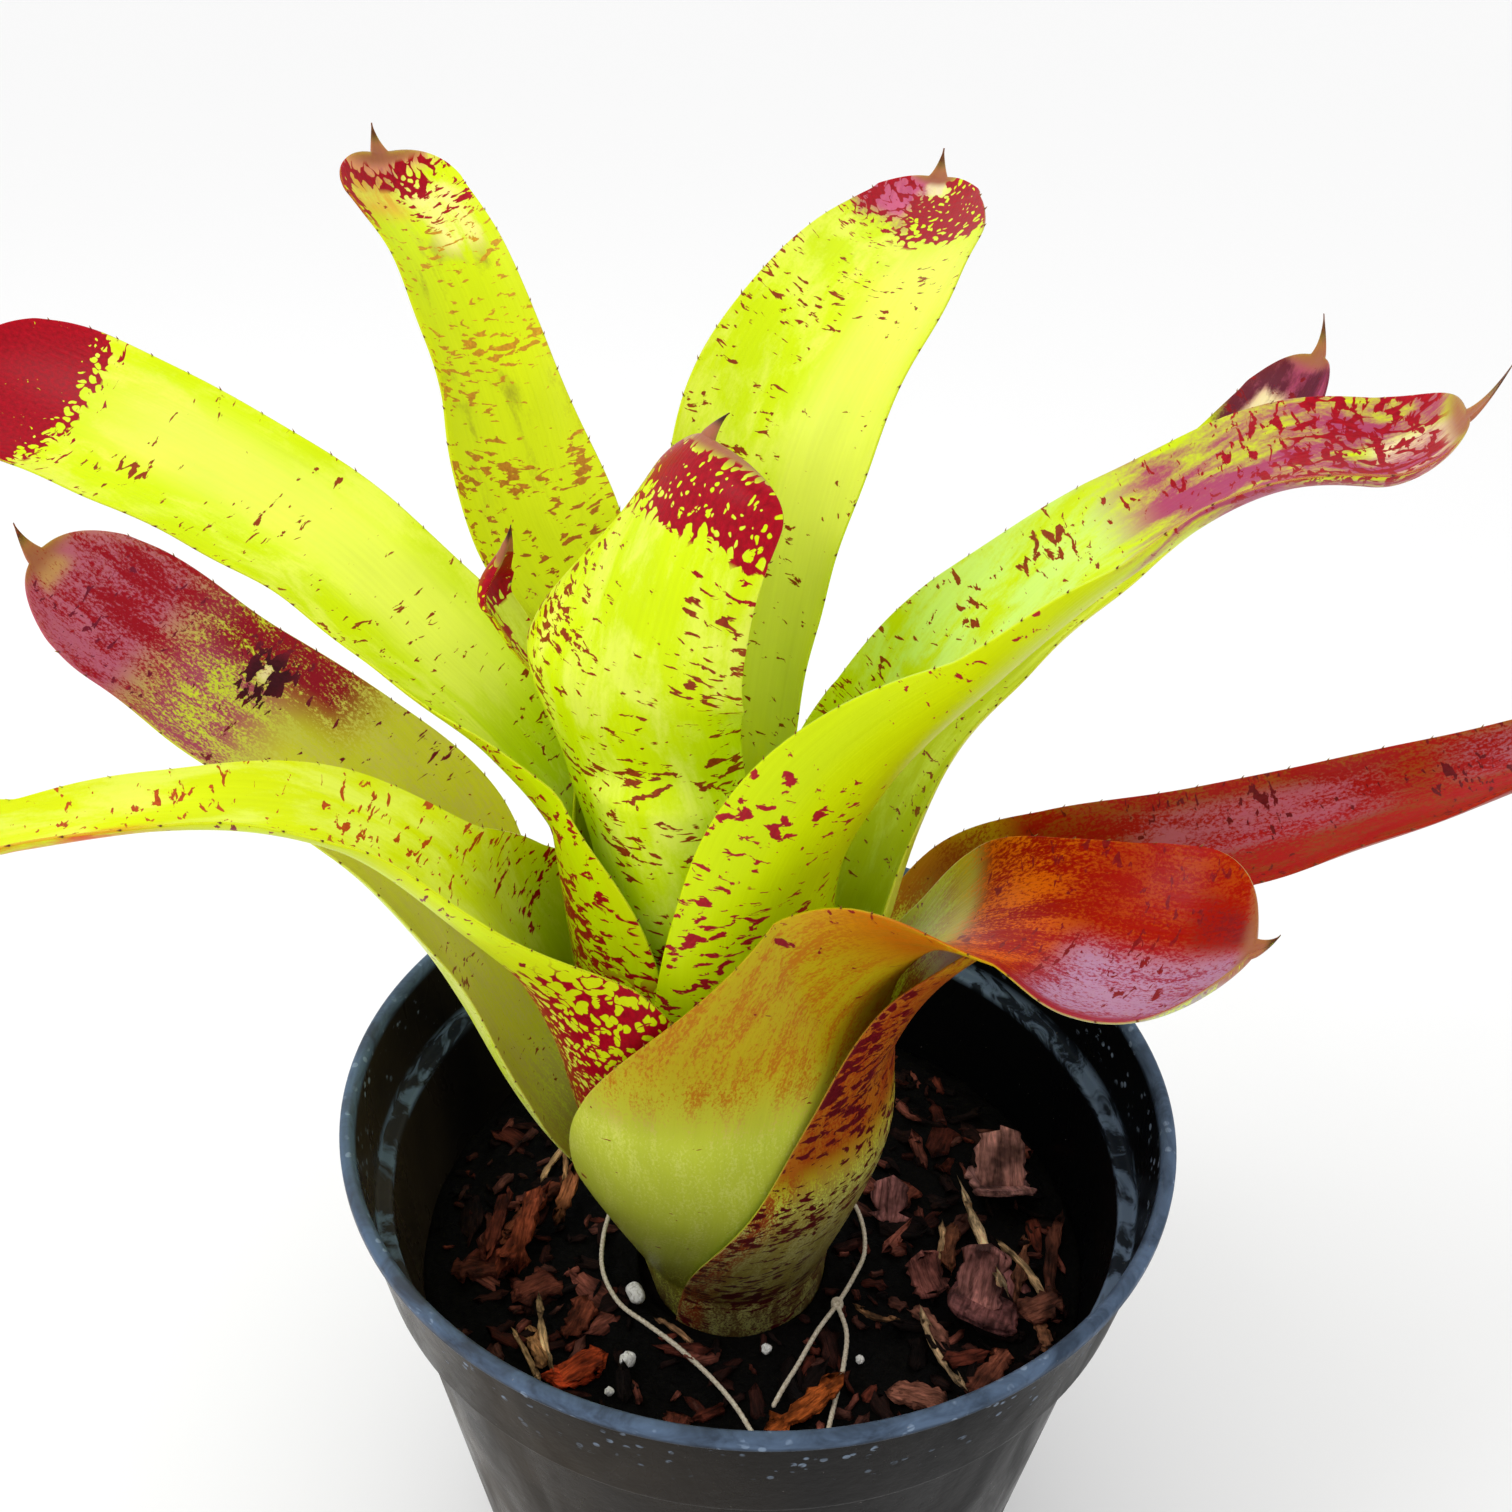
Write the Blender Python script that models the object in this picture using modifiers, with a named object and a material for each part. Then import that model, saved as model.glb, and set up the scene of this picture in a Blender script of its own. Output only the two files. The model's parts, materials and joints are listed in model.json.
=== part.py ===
"""A potted bromeliad: eleven strap leaves in a water-holding rosette, in a round nursery pot.

Metres, +Z up. The origin is the middle of the pot's flat underside, and +X and -Y are the two
sides that the plant leans its broad leaves to. Sizes are written in millimetres and scaled by MM.
"""
import bpy
import bmesh
import numpy as np
from mathutils import Vector
from math import cos, pi, radians, sin

MM = 0.001

# Pot: a 15 cm nursery pot with a rolled lip, a deep outside band and an inside stacking ledge
POT_HEIGHT = 130.0
LIP_RADIUS = 75.0
LIP_WIDTH = 2.5
BAND_FOOT_RADIUS = 70.0
BAND_FOOT_Z = 106.4
LEDGE_Z = 112.0
LEDGE_RADIUS = 70.5
THROAT_RADIUS = 67.7
BODY_TOP_RADIUS = 68.2
BASE_RADIUS = 52.0
WALL = 1.3
FLOOR = 2.0
DRAIN_RADIUS = 5.0
DRAIN_CIRCLE = 38.0
DRAIN_COUNT = 6

# Growing mix and the plant's seat in it. The plant stands off the pot's middle, and its tube
# leans by LEAN for each millimetre up.
SOIL_Z = 90.0
GAP = 0.3
AXIS_X = -4.0
AXIS_Y = -7.0
LEAN_X = -0.095
LEAN_Y = -0.015
SEAT_RADIUS = 20.0
SEAT_DEPTH = 12.0
STEM_RADIUS = 2.4

# Leaves: one thickness for all, small hooked teeth along both edges, and a tip that rounds off
# and runs on in the middle as a cusp: CUSP_HALF wide on each side at CUSP_REACH from its point
LEAF_THICKNESS = 0.8
SHEATH_STEP = 2.0
TOOTH_PITCH = 9.0
TOOTH_HEIGHT = 1.0
TOOTH_BASE = 1.4
TOOTH_HOOK = 0.5
TOOTHLESS_TIP = 0.97
TIP_ROUNDNESS = 2.3
CUSP_LENGTH = 4.5
CUSP_HALF = 6.0
CUSP_REACH = 12.0
CUSP_FADE = 5.0
CUSP_TAPER = 1.2
CUSP_RISE = 0.12
CUSP_BOW = 0.03
CUSP_ROWS = 2
LEAST_HALF_WIDTH = 0.6
BLADE_ROWS = 12
ROW_CROWD = 1.2
LAST_ROW = 0.997
MIDLINE_STEP = 0.001
TUBE_TOP = 110.0
TUBE_FADE = 24.0

# The rings of the tube that the leaf bases form: height over the soil, radius of the innermost
# layer, and how much of SHEATH_STEP lies between one layer and the next
SHEATH = [
    (-5.0, 3.5, 0.65), (8.0, 4.2, 0.72), (24.0, 7.2, 0.9), (42.0, 11.2, 1.0),
    (60.0, 12.0, 1.0), (78.0, 12.0, 1.0), (94.0, 12.0, 1.0)]

# Each leaf: azimuth of its midline, its layer counted from the heart, how many of the tube's
# rings it keeps, the half angle that its sheath wraps at the root and how much of that it loses
# per millimetre up, where its tip starts to round, how far the tip curls up, and its own stations.
# A station is the distance from the plant's axis, height over the soil, sideways drift, half width,
# trough angle and roll.
LEAVES = {
    "leaf_01_lowest_right": (-10, 10, 5, 118, 1.08, 0.86, 3, [
        (37, 82, 0, 22, 48, 0), (50, 95, -1, 15, 45, 5), (68, 103, -1, 12.5, 42, 12),
        (90, 113, 1, 11, 40, 8), (112, 125, 2, 9, 40, 0), (128, 134, 2, 7.5, 40, 0)]),
    "leaf_02_front_right": (-50, 9, 5, 122, 0.68, 0.92, 3, [
        (27, 79, 1, 28, 60, 0), (37, 94, 10, 22, 52, 0), (49, 100, 16, 16, 45, 15),
        (62, 103, 18.5, 17, 42, 24), (78, 109, 23, 17, 42, 20)]),
    "leaf_03_old_left": (174, 8, 3, 57, 0.8, 0.90, 5, [
        (39, 47, 0, 21, 44, 0), (48, 66, 0, 21, 50, 0), (56, 83, -1, 21, 52, -8),
        (70, 99, -1.5, 17.5, 50, -18), (86, 114, 0, 14.5, 42, -24),
        (98, 125, 1.5, 13.8, 40, -24), (111, 133.5, 3, 13, 40, -20)]),
    "leaf_04_back_right": (32, 7, 5, 105, 0.5, 0.90, 6, [
        (24, 84, 0, 24, 58, 0), (33, 101, 1, 15, 50, 0), (50, 116, 1, 12, 45, 0),
        (72, 130, 0, 11, 42, 0), (94, 142, -1, 11, 42, -4), (114, 156, -3, 12.5, 42, -12)]),
    "leaf_05_low_left": (203, 6, 4, 108, 0.40, 0.86, 3, [
        (32, 64, 0, 34, 80, 0), (39, 83, 3.5, 25, 71, 4), (47, 96, 4.5, 16.5, 59, -6),
        (62, 110, -1, 11.5, 46, -4), (85, 117, -1.5, 8.5, 40, 3), (112, 115, -1, 8.5, 40, 3)]),
    "leaf_06_right": (-20, 5, 6, 110, 0.32, 0.95, 8, [
        (16, 95, -3, 30, 76, 0), (23, 113, -3, 29, 72, -2), (36, 132, 5, 24, 56, 9),
        (51, 149, 12.5, 17, 46, 12), (70, 163.5, 15.5, 13.4, 41, 8), (89, 164.5, 17.5, 15, 38, 2)]),
    "leaf_07_left": (175, 4, 6, 112, 0.30, 0.9, 3, [
        (30, 96, -2, 26, 74, 0), (39, 109, -5, 19, 58, -8), (53, 120, -10, 15, 48, -22),
        (71, 133, -16, 14, 42, -32), (97, 144, -22, 14.5, 40, -35), (136, 154, -31, 16, 40, -35)]),
    "leaf_08_back": (68, 2, 7, 120, 0.56, 0.86, 4, [
        (14, 130, 6, 15, 51, 0), (20, 157, 2.5, 17.5, 48, 0), (38, 173, -1.5, 16, 40, 0),
        (59, 179, -2, 13.5, 40, 0), (76, 181.5, -0.3, 11, 40, 0)]),
    "leaf_09_back_left": (134, 3, 7, 117, 0.72, 0.96, 3, [
        (32.5, 115, 2, 11, 42, 0), (47, 135, 5, 14.5, 46, -8),
        (62, 153, 1.5, 11.5, 42, -8), (79, 172, -0.5, 11, 40, -4), (98, 184, 0, 12.5, 38, 4)]),
    "leaf_10_front": (-115, 1, 7, 120, 0.40, 0.96, 1.5, [
        (17, 109, -11.2, 18.5, 54, 0), (22, 130, -12.6, 21.5, 50, -6),
        (19, 145, -9.5, 20, 48, -22), (9, 164.5, -4, 19.5, 50, -38)]),
    "leaf_11_heart": (170, 0, 7, 130, 0.70, 0.86, -1.5, [
        (27, 113, -2.5, 5.2, 44, 0), (38, 126, -2.8, 4.6, 40, 0), (41, 134, -2, 5.4, 44, 0),
        (36.5, 140, -1, 5, 46, 0)]),
}


def collection(name):
    """Return a new collection linked to the scene."""
    group = bpy.data.collections.new(name)
    bpy.context.scene.collection.children.link(group)
    return group


def material(name, colour, roughness, metallic=0.0):
    """Return a Principled material of one colour."""
    slot = bpy.data.materials.new(name)
    slot.use_nodes = True
    shader = slot.node_tree.nodes["Principled BSDF"]
    shader.inputs["Base Color"].default_value = (*colour, 1.0)
    shader.inputs["Roughness"].default_value = roughness
    shader.inputs["Metallic"].default_value = metallic
    return slot


def add_object(name, mesh, slot, group):
    """Link a mesh to a collection under the name of its node."""
    part = bpy.data.objects.new(name, mesh)
    group.objects.link(part)
    mesh.materials.append(slot)
    mesh.shade_smooth()
    mesh.set_sharp_from_angle(angle=radians(40))
    return part


def mesh_from(name, points, faces):
    """Build a mesh from points in millimetres."""
    mesh = bpy.data.meshes.new(name)
    mesh.from_pydata([tuple(p * MM) for p in points], [], faces)
    return mesh


def curve_through(x, keys, values):
    """Read a smooth curve through the keys, with slopes that weigh the two spans at each key."""
    span = np.diff(keys)
    rise = np.diff(values) / span
    slope = np.empty(len(keys))
    slope[0] = rise[0]
    slope[-1] = rise[-1]
    slope[1:-1] = (rise[:-1] * span[1:] + rise[1:] * span[:-1]) / (span[1:] + span[:-1])
    i = np.clip(np.searchsorted(keys, x, side="right") - 1, 0, len(keys) - 2)
    u = (x - keys[i]) / span[i]
    start = (2 * u**3 - 3 * u**2 + 1) * values[i] + (u**3 - 2 * u**2 + u) * span[i] * slope[i]
    end = (3 * u**2 - 2 * u**3) * values[i + 1] + (u**3 - u**2) * span[i] * slope[i + 1]
    return start + end


def layer_radius(layer, height):
    """Radius of the inner face of a layer of the tube at a height over the soil."""
    heights = [ring[0] for ring in SHEATH]
    hearts = [ring[1] + SHEATH_STEP * ring[2] * layer for ring in SHEATH]
    return np.interp(height, heights, hearts)


def heart(height):
    """Middle of the tube at a height over the soil: the plant leans a little as it grows."""
    return np.array([AXIS_X + LEAN_X * height, AXIS_Y + LEAN_Y * height])


def leaf_stations(azimuth, layer, rings, wrap, fall, stations):
    """Join the tube's rings at a layer with the leaf's own stations."""
    out = np.array([cos(radians(azimuth)), sin(radians(azimuth))])
    side = np.array([-out[1], out[0]])
    rows = []
    for height, _, _ in SHEATH[:rings]:
        radius = layer_radius(layer, height)
        angle = wrap - fall * (height - SHEATH[0][0])
        lean = heart(height) - heart(0)
        rows.append((radius + lean @ out, height, lean @ side, radius * radians(angle), angle, 0.0))
    return np.array(rows + stations, float)


def leaf_frame(azimuth, keys, rings, s):
    """Return the midline point, side, inward and forward directions, half width and angle at s.

    s runs from 0 at the root to 1 at the tip, in share of the chord length of the stations. The
    sections stay level in the tube and turn square to the midline over the next three stations.
    """
    out = np.array([cos(radians(azimuth)), sin(radians(azimuth)), 0.0])
    side = np.array([-out[1], out[0], 0.0])
    up = np.array([0.0, 0.0, 1.0])
    share = station_share(keys)

    def middle(x):
        r, z, drift = (curve_through(x, share, keys[:, j])[:, None] for j in range(3))
        return np.array([AXIS_X, AXIS_Y, SOIL_Z]) + out * r + side * drift + up * z

    forward = middle(np.minimum(s + MIDLINE_STEP, 1)) - middle(np.maximum(s - MIDLINE_STEP, 0))
    forward /= np.linalg.norm(forward, axis=1, keepdims=True)
    free = np.clip((s - share[rings - 1]) / (share[rings + 1] - share[rings - 1]), 0, 1)
    free = (free * free * (3 - 2 * free))[:, None]
    square = up * (1 - free) + forward * free
    square /= np.linalg.norm(square, axis=1, keepdims=True)
    across = side - square * (square @ side)[:, None]
    across /= np.linalg.norm(across, axis=1, keepdims=True)
    inward = np.cross(square, across)
    roll = np.radians(curve_through(s, share, keys[:, 5]))[:, None]
    across, inward = (across * np.cos(roll) + inward * np.sin(roll),
                      inward * np.cos(roll) - across * np.sin(roll))
    width = curve_through(s, share, keys[:, 3])
    angle = np.radians(curve_through(s, share, keys[:, 4]))
    return middle(s), across, inward, forward, width, angle


def station_share(keys):
    """Share of the leaf's length at each station, along the chords."""
    length = np.r_[0, np.cumsum(np.linalg.norm(np.diff(keys[:, :3], axis=0), axis=1))]
    return length / length[-1]


def hold_off(place, layer, lift):
    """Push a point out to its own layer of the tube, so that no sheath cuts into the next."""
    z = place[2] - SOIL_Z
    axis_x, axis_y = heart(z)
    x, y = place[0] - axis_x, place[1] - axis_y
    fade = min(max((TUBE_TOP + TUBE_FADE - z) / TUBE_FADE, 0), 1)
    least = (layer_radius(layer, z) - lift) * fade
    reach = max(np.hypot(x, y), 0.01)
    if reach < least:
        x, y = x * least / reach, y * least / reach
    return np.array([x + axis_x, y + axis_y, z + SOIL_Z])


def leaf_mesh(name, azimuth, layer, rings, wrap, fall, round_from, curl, stations):
    """Loft a leaf: a trough whose section is an arc, with toothed edges and a spine at the tip.

    Every section is an arc of half width w and half angle a, so its radius is w / a. Low down
    that arc is centred on the plant's axis, which makes the leaf a sheath round the next one.
    """
    keys = leaf_stations(azimuth, layer, rings, wrap, fall, stations)
    share = station_share(keys)
    free = np.linspace(0, 1, BLADE_ROWS + 1)[1:]
    s = np.r_[share[:rings], 1 - (1 - share[rings - 1]) * (1 - free) ** ROW_CROWD]
    s[-1] = LAST_ROW
    s = np.r_[s, np.ones(CUSP_ROWS + 1)]
    beyond = np.zeros(len(s))
    beyond[-CUSP_ROWS - 1:] = CUSP_LENGTH * np.linspace(0, 1, CUSP_ROWS + 2)[1:]
    point, across, inward, forward, width, angle = leaf_frame(azimuth, keys, rings, s)
    along = beyond + np.r_[0, np.cumsum(np.linalg.norm(np.diff(point, axis=0), axis=1))]
    left = along[-1] - along
    tip = np.clip((s - round_from) / (1 - round_from), 0, 1)
    near = np.clip((CUSP_REACH + CUSP_FADE - left) / CUSP_FADE, 0, 1)
    cusp = CUSP_HALF * (left / CUSP_REACH) ** CUSP_TAPER * near * near * (3 - 2 * near)
    width = width * np.sqrt(np.maximum(1 - tip**TIP_ROUNDNESS, 0))
    width = np.maximum((width**4 + cusp**4) ** 0.25, LEAST_HALF_WIDTH)
    rise = curl * (tip**2 + CUSP_RISE * beyond + CUSP_BOW * beyond**2)
    point = point + forward * beyond[:, None] + inward * rise[:, None]
    apex = point[-1] - inward[-1] * LEAF_THICKNESS / 2
    point, s = point[:-1], s[:-1]
    radius = width / angle
    rows = len(s)
    columns = 6 if layer < 4 else 8 if layer < 8 else 10

    def place(row, t, lift):
        """Point of one row at t (-1 to 1 across), lift off the inner face along the normal."""
        turn = t * angle[row]
        normal = inward[row] * cos(turn) - across[row] * sin(turn)
        flat = across[row] * radius[row] * sin(turn) + inward[row] * radius[row] * (1 - cos(turn))
        return hold_off(point[row] + flat + normal * lift, layer, lift)

    grid = {}
    points = []
    for row in range(rows):
        for column in range(columns + 1):
            for face, lift in ((0, 0.0), (1, -LEAF_THICKNESS)):
                grid[row, column, face] = len(points)
                points.append(place(row, 2 * column / columns - 1, lift))
    faces = []
    for row in range(rows - 1):
        for column in range(1, columns - 1):
            a, b = grid[row, column, 0], grid[row, column + 1, 0]
            c, d = grid[row + 1, column + 1, 0], grid[row + 1, column, 0]
            faces += [(a, b, c), (a, c, d)]
            a, b = grid[row, column, 1], grid[row, column + 1, 1]
            c, d = grid[row + 1, column + 1, 1], grid[row + 1, column, 1]
            faces += [(a, c, b), (a, d, c)]

    def edge_cell(row, column, inner):
        """Fill the last strip beside an edge with a fan, and set its teeth."""
        t = -1.0 if column == 0 else 1.0
        span = np.linalg.norm(points[grid[row + 1, column, 0]] - points[grid[row, column, 0]])
        teeth = int(round(span / TOOTH_PITCH)) if row >= rings and s[row] < TOOTHLESS_TIP else 0
        chain = [[grid[row, column, 0], grid[row, column, 1]]]
        tops = []
        for tooth in range(teeth):
            middle = (tooth + 0.5) / teeth
            half = 0.5 * TOOTH_BASE / span
            for share in (middle - half, middle + half):
                pair = []
                for face in (0, 1):
                    pair.append(len(points))
                    points.append(points[grid[row, column, face]] * (1 - share)
                                  + points[grid[row + 1, column, face]] * share)
                chain.append(pair)
            turn = t * angle[row]
            outward = (across[row] * cos(turn) + inward[row] * sin(turn)) * t
            hook = outward * TOOTH_HEIGHT + forward[row] * TOOTH_HOOK
            middle_point = (points[chain[-1][0]] + points[chain[-1][1]]
                            + points[chain[-2][0]] + points[chain[-2][1]]) / 4
            tops.append((len(chain) - 2, len(points)))
            points.append(middle_point + hook)
        chain.append([grid[row + 1, column, 0], grid[row + 1, column, 1]])
        near = (grid[row, inner, 0], grid[row, inner, 1])
        far = (grid[row + 1, inner, 0], grid[row + 1, inner, 1])
        turn_over = column == 0
        built = []
        half_way = len(chain) // 2
        for i in range(len(chain) - 1):
            hub = near if i < half_way else far
            built.append((hub[0], chain[i][0], chain[i + 1][0]))
            built.append((hub[1], chain[i + 1][1], chain[i][1]))
        built.append((near[0], chain[half_way][0], far[0]))
        built.append((near[1], far[1], chain[half_way][1]))
        tooth_at = dict(tops)
        for i in range(len(chain) - 1):
            a, b = chain[i]
            d, c = chain[i + 1]
            if i in tooth_at:
                apex = tooth_at[i]
                built += [(a, b, apex), (b, c, apex), (c, d, apex), (d, a, apex)]
            else:
                built += [(a, b, c), (a, c, d)]
        for face in built:
            faces.append(face[::-1] if turn_over else face)

    for row in range(rows - 1):
        edge_cell(row, 0, 1)
        edge_cell(row, columns, columns - 1)
    for column in range(columns):
        a, b = grid[0, column, 0], grid[0, column + 1, 0]
        c, d = grid[0, column + 1, 1], grid[0, column, 1]
        faces += [(b, a, d), (b, d, c)]
    spine = len(points)
    last = rows - 1
    points.append(apex)
    for column in range(columns):
        faces.append((grid[last, column, 0], grid[last, column + 1, 0], spine))
        faces.append((grid[last, column + 1, 1], grid[last, column, 1], spine))
    faces.append((grid[last, 0, 1], grid[last, 0, 0], spine))
    faces.append((grid[last, columns, 0], grid[last, columns, 1], spine))
    return mesh_from(name, points, faces)


def outward(part):
    """Point the faces of a closed hand-built mesh out of the solid."""
    work = bmesh.new()
    work.from_mesh(part.data)
    bmesh.ops.recalc_face_normals(work, faces=work.faces)
    work.to_mesh(part.data)
    work.free()


def turned(name, profile, steps, slot, group):
    """Turn a profile of (radius, height) about the Z axis with a Screw modifier.

    The profile starts inside on the axis and runs down the outer side to the axis again.
    """
    mesh = bpy.data.meshes.new(name)
    points = [(r * MM, 0.0, z * MM) for r, z in profile]
    mesh.from_pydata(points, [(i, i + 1) for i in range(len(points) - 1)], [])
    part = add_object(name, mesh, slot, group)
    screw = part.modifiers.new("turn", "SCREW")
    screw.steps = steps
    screw.render_steps = steps
    screw.use_merge_vertices = True
    screw.merge_threshold = 0.00001
    return part


def cylinder(name, radius, low, high, x, y, sides, group, slot=None, hidden=False):
    """Add a capped cylinder between two heights."""
    mesh = bpy.data.meshes.new(name)
    work = bmesh.new()
    bmesh.ops.create_cone(work, cap_ends=True, segments=sides, radius1=radius * MM,
                          radius2=radius * MM, depth=(high - low) * MM)
    work.to_mesh(mesh)
    work.free()
    part = bpy.data.objects.new(name, mesh)
    group.objects.link(part)
    part.location = Vector((x, y, (low + high) / 2)) * MM
    if slot:
        mesh.materials.append(slot)
    if hidden:
        part.hide_render = True
        part.display_type = "WIRE"
    return part


def boolean(part, operation, other, solver="EXACT"):
    """Add a Boolean modifier with one object or a whole collection."""
    cut = part.modifiers.new(operation.lower(), "BOOLEAN")
    cut.operation = operation
    cut.solver = solver
    if isinstance(other, bpy.types.Collection):
        cut.operand_type = "COLLECTION"
        cut.collection = other
    else:
        cut.object = other


def body_radius(z):
    """Outside radius of the pot's tapered body at a height."""
    return BASE_RADIUS + (BODY_TOP_RADIUS - BASE_RADIUS) * z / BAND_FOOT_Z


def inside_radius(z):
    """Inside radius of the pot's wall at a height."""
    return body_radius(z) - WALL * 1.04


def make_pot(slot, group):
    """Turn the pot: floor, wall, stacking ledge, rolled lip and the deep outside band."""
    lip_inside = LIP_RADIUS - LIP_WIDTH
    top = POT_HEIGHT
    profile = [
        (0, FLOOR), (inside_radius(FLOOR), FLOOR), (inside_radius(LEDGE_Z - 8), LEDGE_Z - 8),
        (THROAT_RADIUS, LEDGE_Z), (LEDGE_RADIUS, LEDGE_Z), (lip_inside, top - 1.6),
        (lip_inside + 0.3, top - 0.5), (lip_inside + 1.0, top), (LIP_RADIUS - 0.8, top),
        (LIP_RADIUS - 0.1, top - 0.6), (LIP_RADIUS, top - 1.6), (LIP_RADIUS - 0.5, top - 2.8),
        (LIP_RADIUS - 1.1, top - 3.2), (BAND_FOOT_RADIUS + 0.7, BAND_FOOT_Z + 0.6),
        (BAND_FOOT_RADIUS, BAND_FOOT_Z), (BODY_TOP_RADIUS, BAND_FOOT_Z),
        (BASE_RADIUS + 0.2, 1.2), (BASE_RADIUS - 1.0, 0), (0, 0)]
    pot = turned("pot", profile, 36, slot, group)
    holes = collection("drain_hole_cutters")
    for i in range(DRAIN_COUNT):
        a = 2 * pi * (i + 0.5) / DRAIN_COUNT
        cylinder(f"cutter_drain_{i}", DRAIN_RADIUS, -2, FLOOR + 0.2, DRAIN_CIRCLE * cos(a),
                 DRAIN_CIRCLE * sin(a), 12, holes, hidden=True)
    boolean(pot, "DIFFERENCE", holes)
    return pot


def make_mix(slot, group, cutters):
    """Turn the plug of potting mix that fills the pot, with a plain hole for the stem."""
    low = FLOOR + GAP
    high = SOIL_Z + SHEATH[0][0] - GAP - 0.1
    profile = [(0, high), (inside_radius(high) - GAP, high), (inside_radius(low) - GAP, low),
               (0, low)]
    mix = turned("potting_mix", profile, 36, slot, group)
    hole = cylinder("cutter_stem_hole", STEM_RADIUS + GAP, high - SEAT_DEPTH, high + 2,
                    AXIS_X, AXIS_Y, 16, cutters, hidden=True)
    boolean(mix, "DIFFERENCE", hole)
    return mix, high


def ground(x, y):
    """Height of the bark's bed, a gentle swell of under a millimetre."""
    return (SOIL_Z + 0.45 * np.sin(0.21 * x + 0.6) * np.cos(0.17 * y)
            + 0.3 * np.sin(0.35 * y + 0.23 * x + 1.7))


# The thin tie: once round the plant's foot, with both ends led forward over the bark. Its points
# are (x, y, height over the bed), from the left end round the back to the knot and the right end.
TIE_RADIUS = 0.45
TIE_REST = 1.0
TIE_ROUND = [
    (1.5, -47, 0), (-2, -41.5, 0), (-7, -35.5, 0), (-12.5, -30.5, 0), (-18.5, -26, 0),
    (-24.5, -21, 0), (-28, -15, 0.6), (-29, -8, 0.8), (-28, 0, 0.8), (-23.5, 9, 0.8),
    (-16, 15.5, 0.8), (-6, 18, 0.8), (4, 17, 0.8), (13, 12.5, 0.8), (19, 6, 0.8),
    (21.5, -1, 0.8), (21.5, -8, 0.8), (19, -15, 1.0), (16, -20.5, 1.2), (12.5, -26, 0.6),
    (8.5, -33.5, 0), (4.5, -42, 0)]
TIE_SECOND = [(16, -20.5, 1.2), (17.6, -26, 0.6), (17, -32.5, 0), (15.5, -39, 0), (14, -46, 0)]
KNOT_RADIUS = 1.0


def tie_path(route, count):
    """Read a smooth path through a route, lying just over the bark's bed."""
    route = np.array(route, float)
    share = np.r_[0, np.cumsum(np.linalg.norm(np.diff(route[:, :2], axis=0), axis=1))]
    at = np.linspace(0, share[-1], count)
    x, y, lift = (curve_through(at, share, route[:, j]) for j in range(3))
    return np.stack([x, y, ground(x, y) + TIE_REST + lift], axis=1)


def tube(name, path, radius, group):
    """Make a closed tube mesh along a path from a bevelled poly curve."""
    curve = bpy.data.curves.new(name, "CURVE")
    curve.dimensions = "3D"
    curve.bevel_depth = radius * MM
    curve.bevel_resolution = 2
    curve.use_fill_caps = True
    spline = curve.splines.new("POLY")
    spline.points.add(len(path) - 1)
    for point, place in zip(spline.points, path):
        point.co = (*(place * MM), 1.0)
    guide = bpy.data.objects.new(name + "_guide", curve)
    group.objects.link(guide)
    bpy.context.view_layer.update()
    mesh = bpy.data.meshes.new_from_object(guide.evaluated_get(bpy.context.evaluated_depsgraph_get()))
    bpy.data.objects.remove(guide)
    work = bmesh.new()
    work.from_mesh(mesh)
    bmesh.ops.remove_doubles(work, verts=work.verts, dist=0.000001)
    work.to_mesh(mesh)
    work.free()
    mesh.name = name
    mesh.materials.clear()
    return mesh


def make_tie(slot, group):
    """Make the tie: the loop with its two ends, and a small knot where they part."""
    tie = add_object("tie_string", tube("tie_string", tie_path(TIE_ROUND, 44), TIE_RADIUS, group),
                     slot, group)
    others = collection("tie_joins")
    second = bpy.data.objects.new(
        "cutter_tie_second", tube("tie_second", tie_path(TIE_SECOND, 10), TIE_RADIUS * 0.9, group))
    others.objects.link(second)
    knot_mesh = bpy.data.meshes.new("tie_knot")
    work = bmesh.new()
    bmesh.ops.create_icosphere(work, subdivisions=1, radius=KNOT_RADIUS * MM)
    work.to_mesh(knot_mesh)
    work.free()
    knot = bpy.data.objects.new("cutter_tie_knot", knot_mesh)
    knot.location = Vector(tie_path(TIE_SECOND, 10)[0]) * MM
    others.objects.link(knot)
    for piece in (second, knot):
        piece.hide_render = True
        piece.display_type = "WIRE"
    boolean(tie, "UNION", others)
    return tie


# Bark chips that stand out, each (x, y, length, width, thickness, heading, tilt), then a fill
CHIPS = [
    (44, -17, 20, 13, 2.4, 70, 14), (50, 12, 15, 12, 2.0, 100, 22), (29, 9, 9, 6, 1.8, 60, 12),
    (38, -4, 16, 3.0, 1.6, 80, 8), (33, -22, 15, 2.4, 1.6, 120, 10), (52, -8, 22, 2.2, 1.4, 75, 9),
    (-46, -2, 17, 2.6, 1.6, 70, 12), (-41, 6, 14, 3.4, 1.8, 55, 16), (-52, -14, 10, 5, 1.8, 20, 8),
    (-38, -31, 13, 2.6, 1.6, 115, 14), (-31, -37, 12, 4, 1.8, 20, 10), (-40, -18, 11, 6, 1.8, 40, 8),
    (8, -52.5, 15, 3.4, 2.0, 30, 6), (30, -38, 12, 5, 2.0, 160, 10), (-12, -46, 8, 4, 1.6, 80, 8),
    (54, -24, 9, 2.4, 1.4, 95, 8), (26, -48, 9, 3.5, 1.6, 60, 8)]
FILL_CHIPS = 22
CHIP_LIFT = 0.22
TIE_CLEARANCE = 3.0
FOOT_CLEARANCE = 28.0
WALL_CLEARANCE = 60.5


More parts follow.
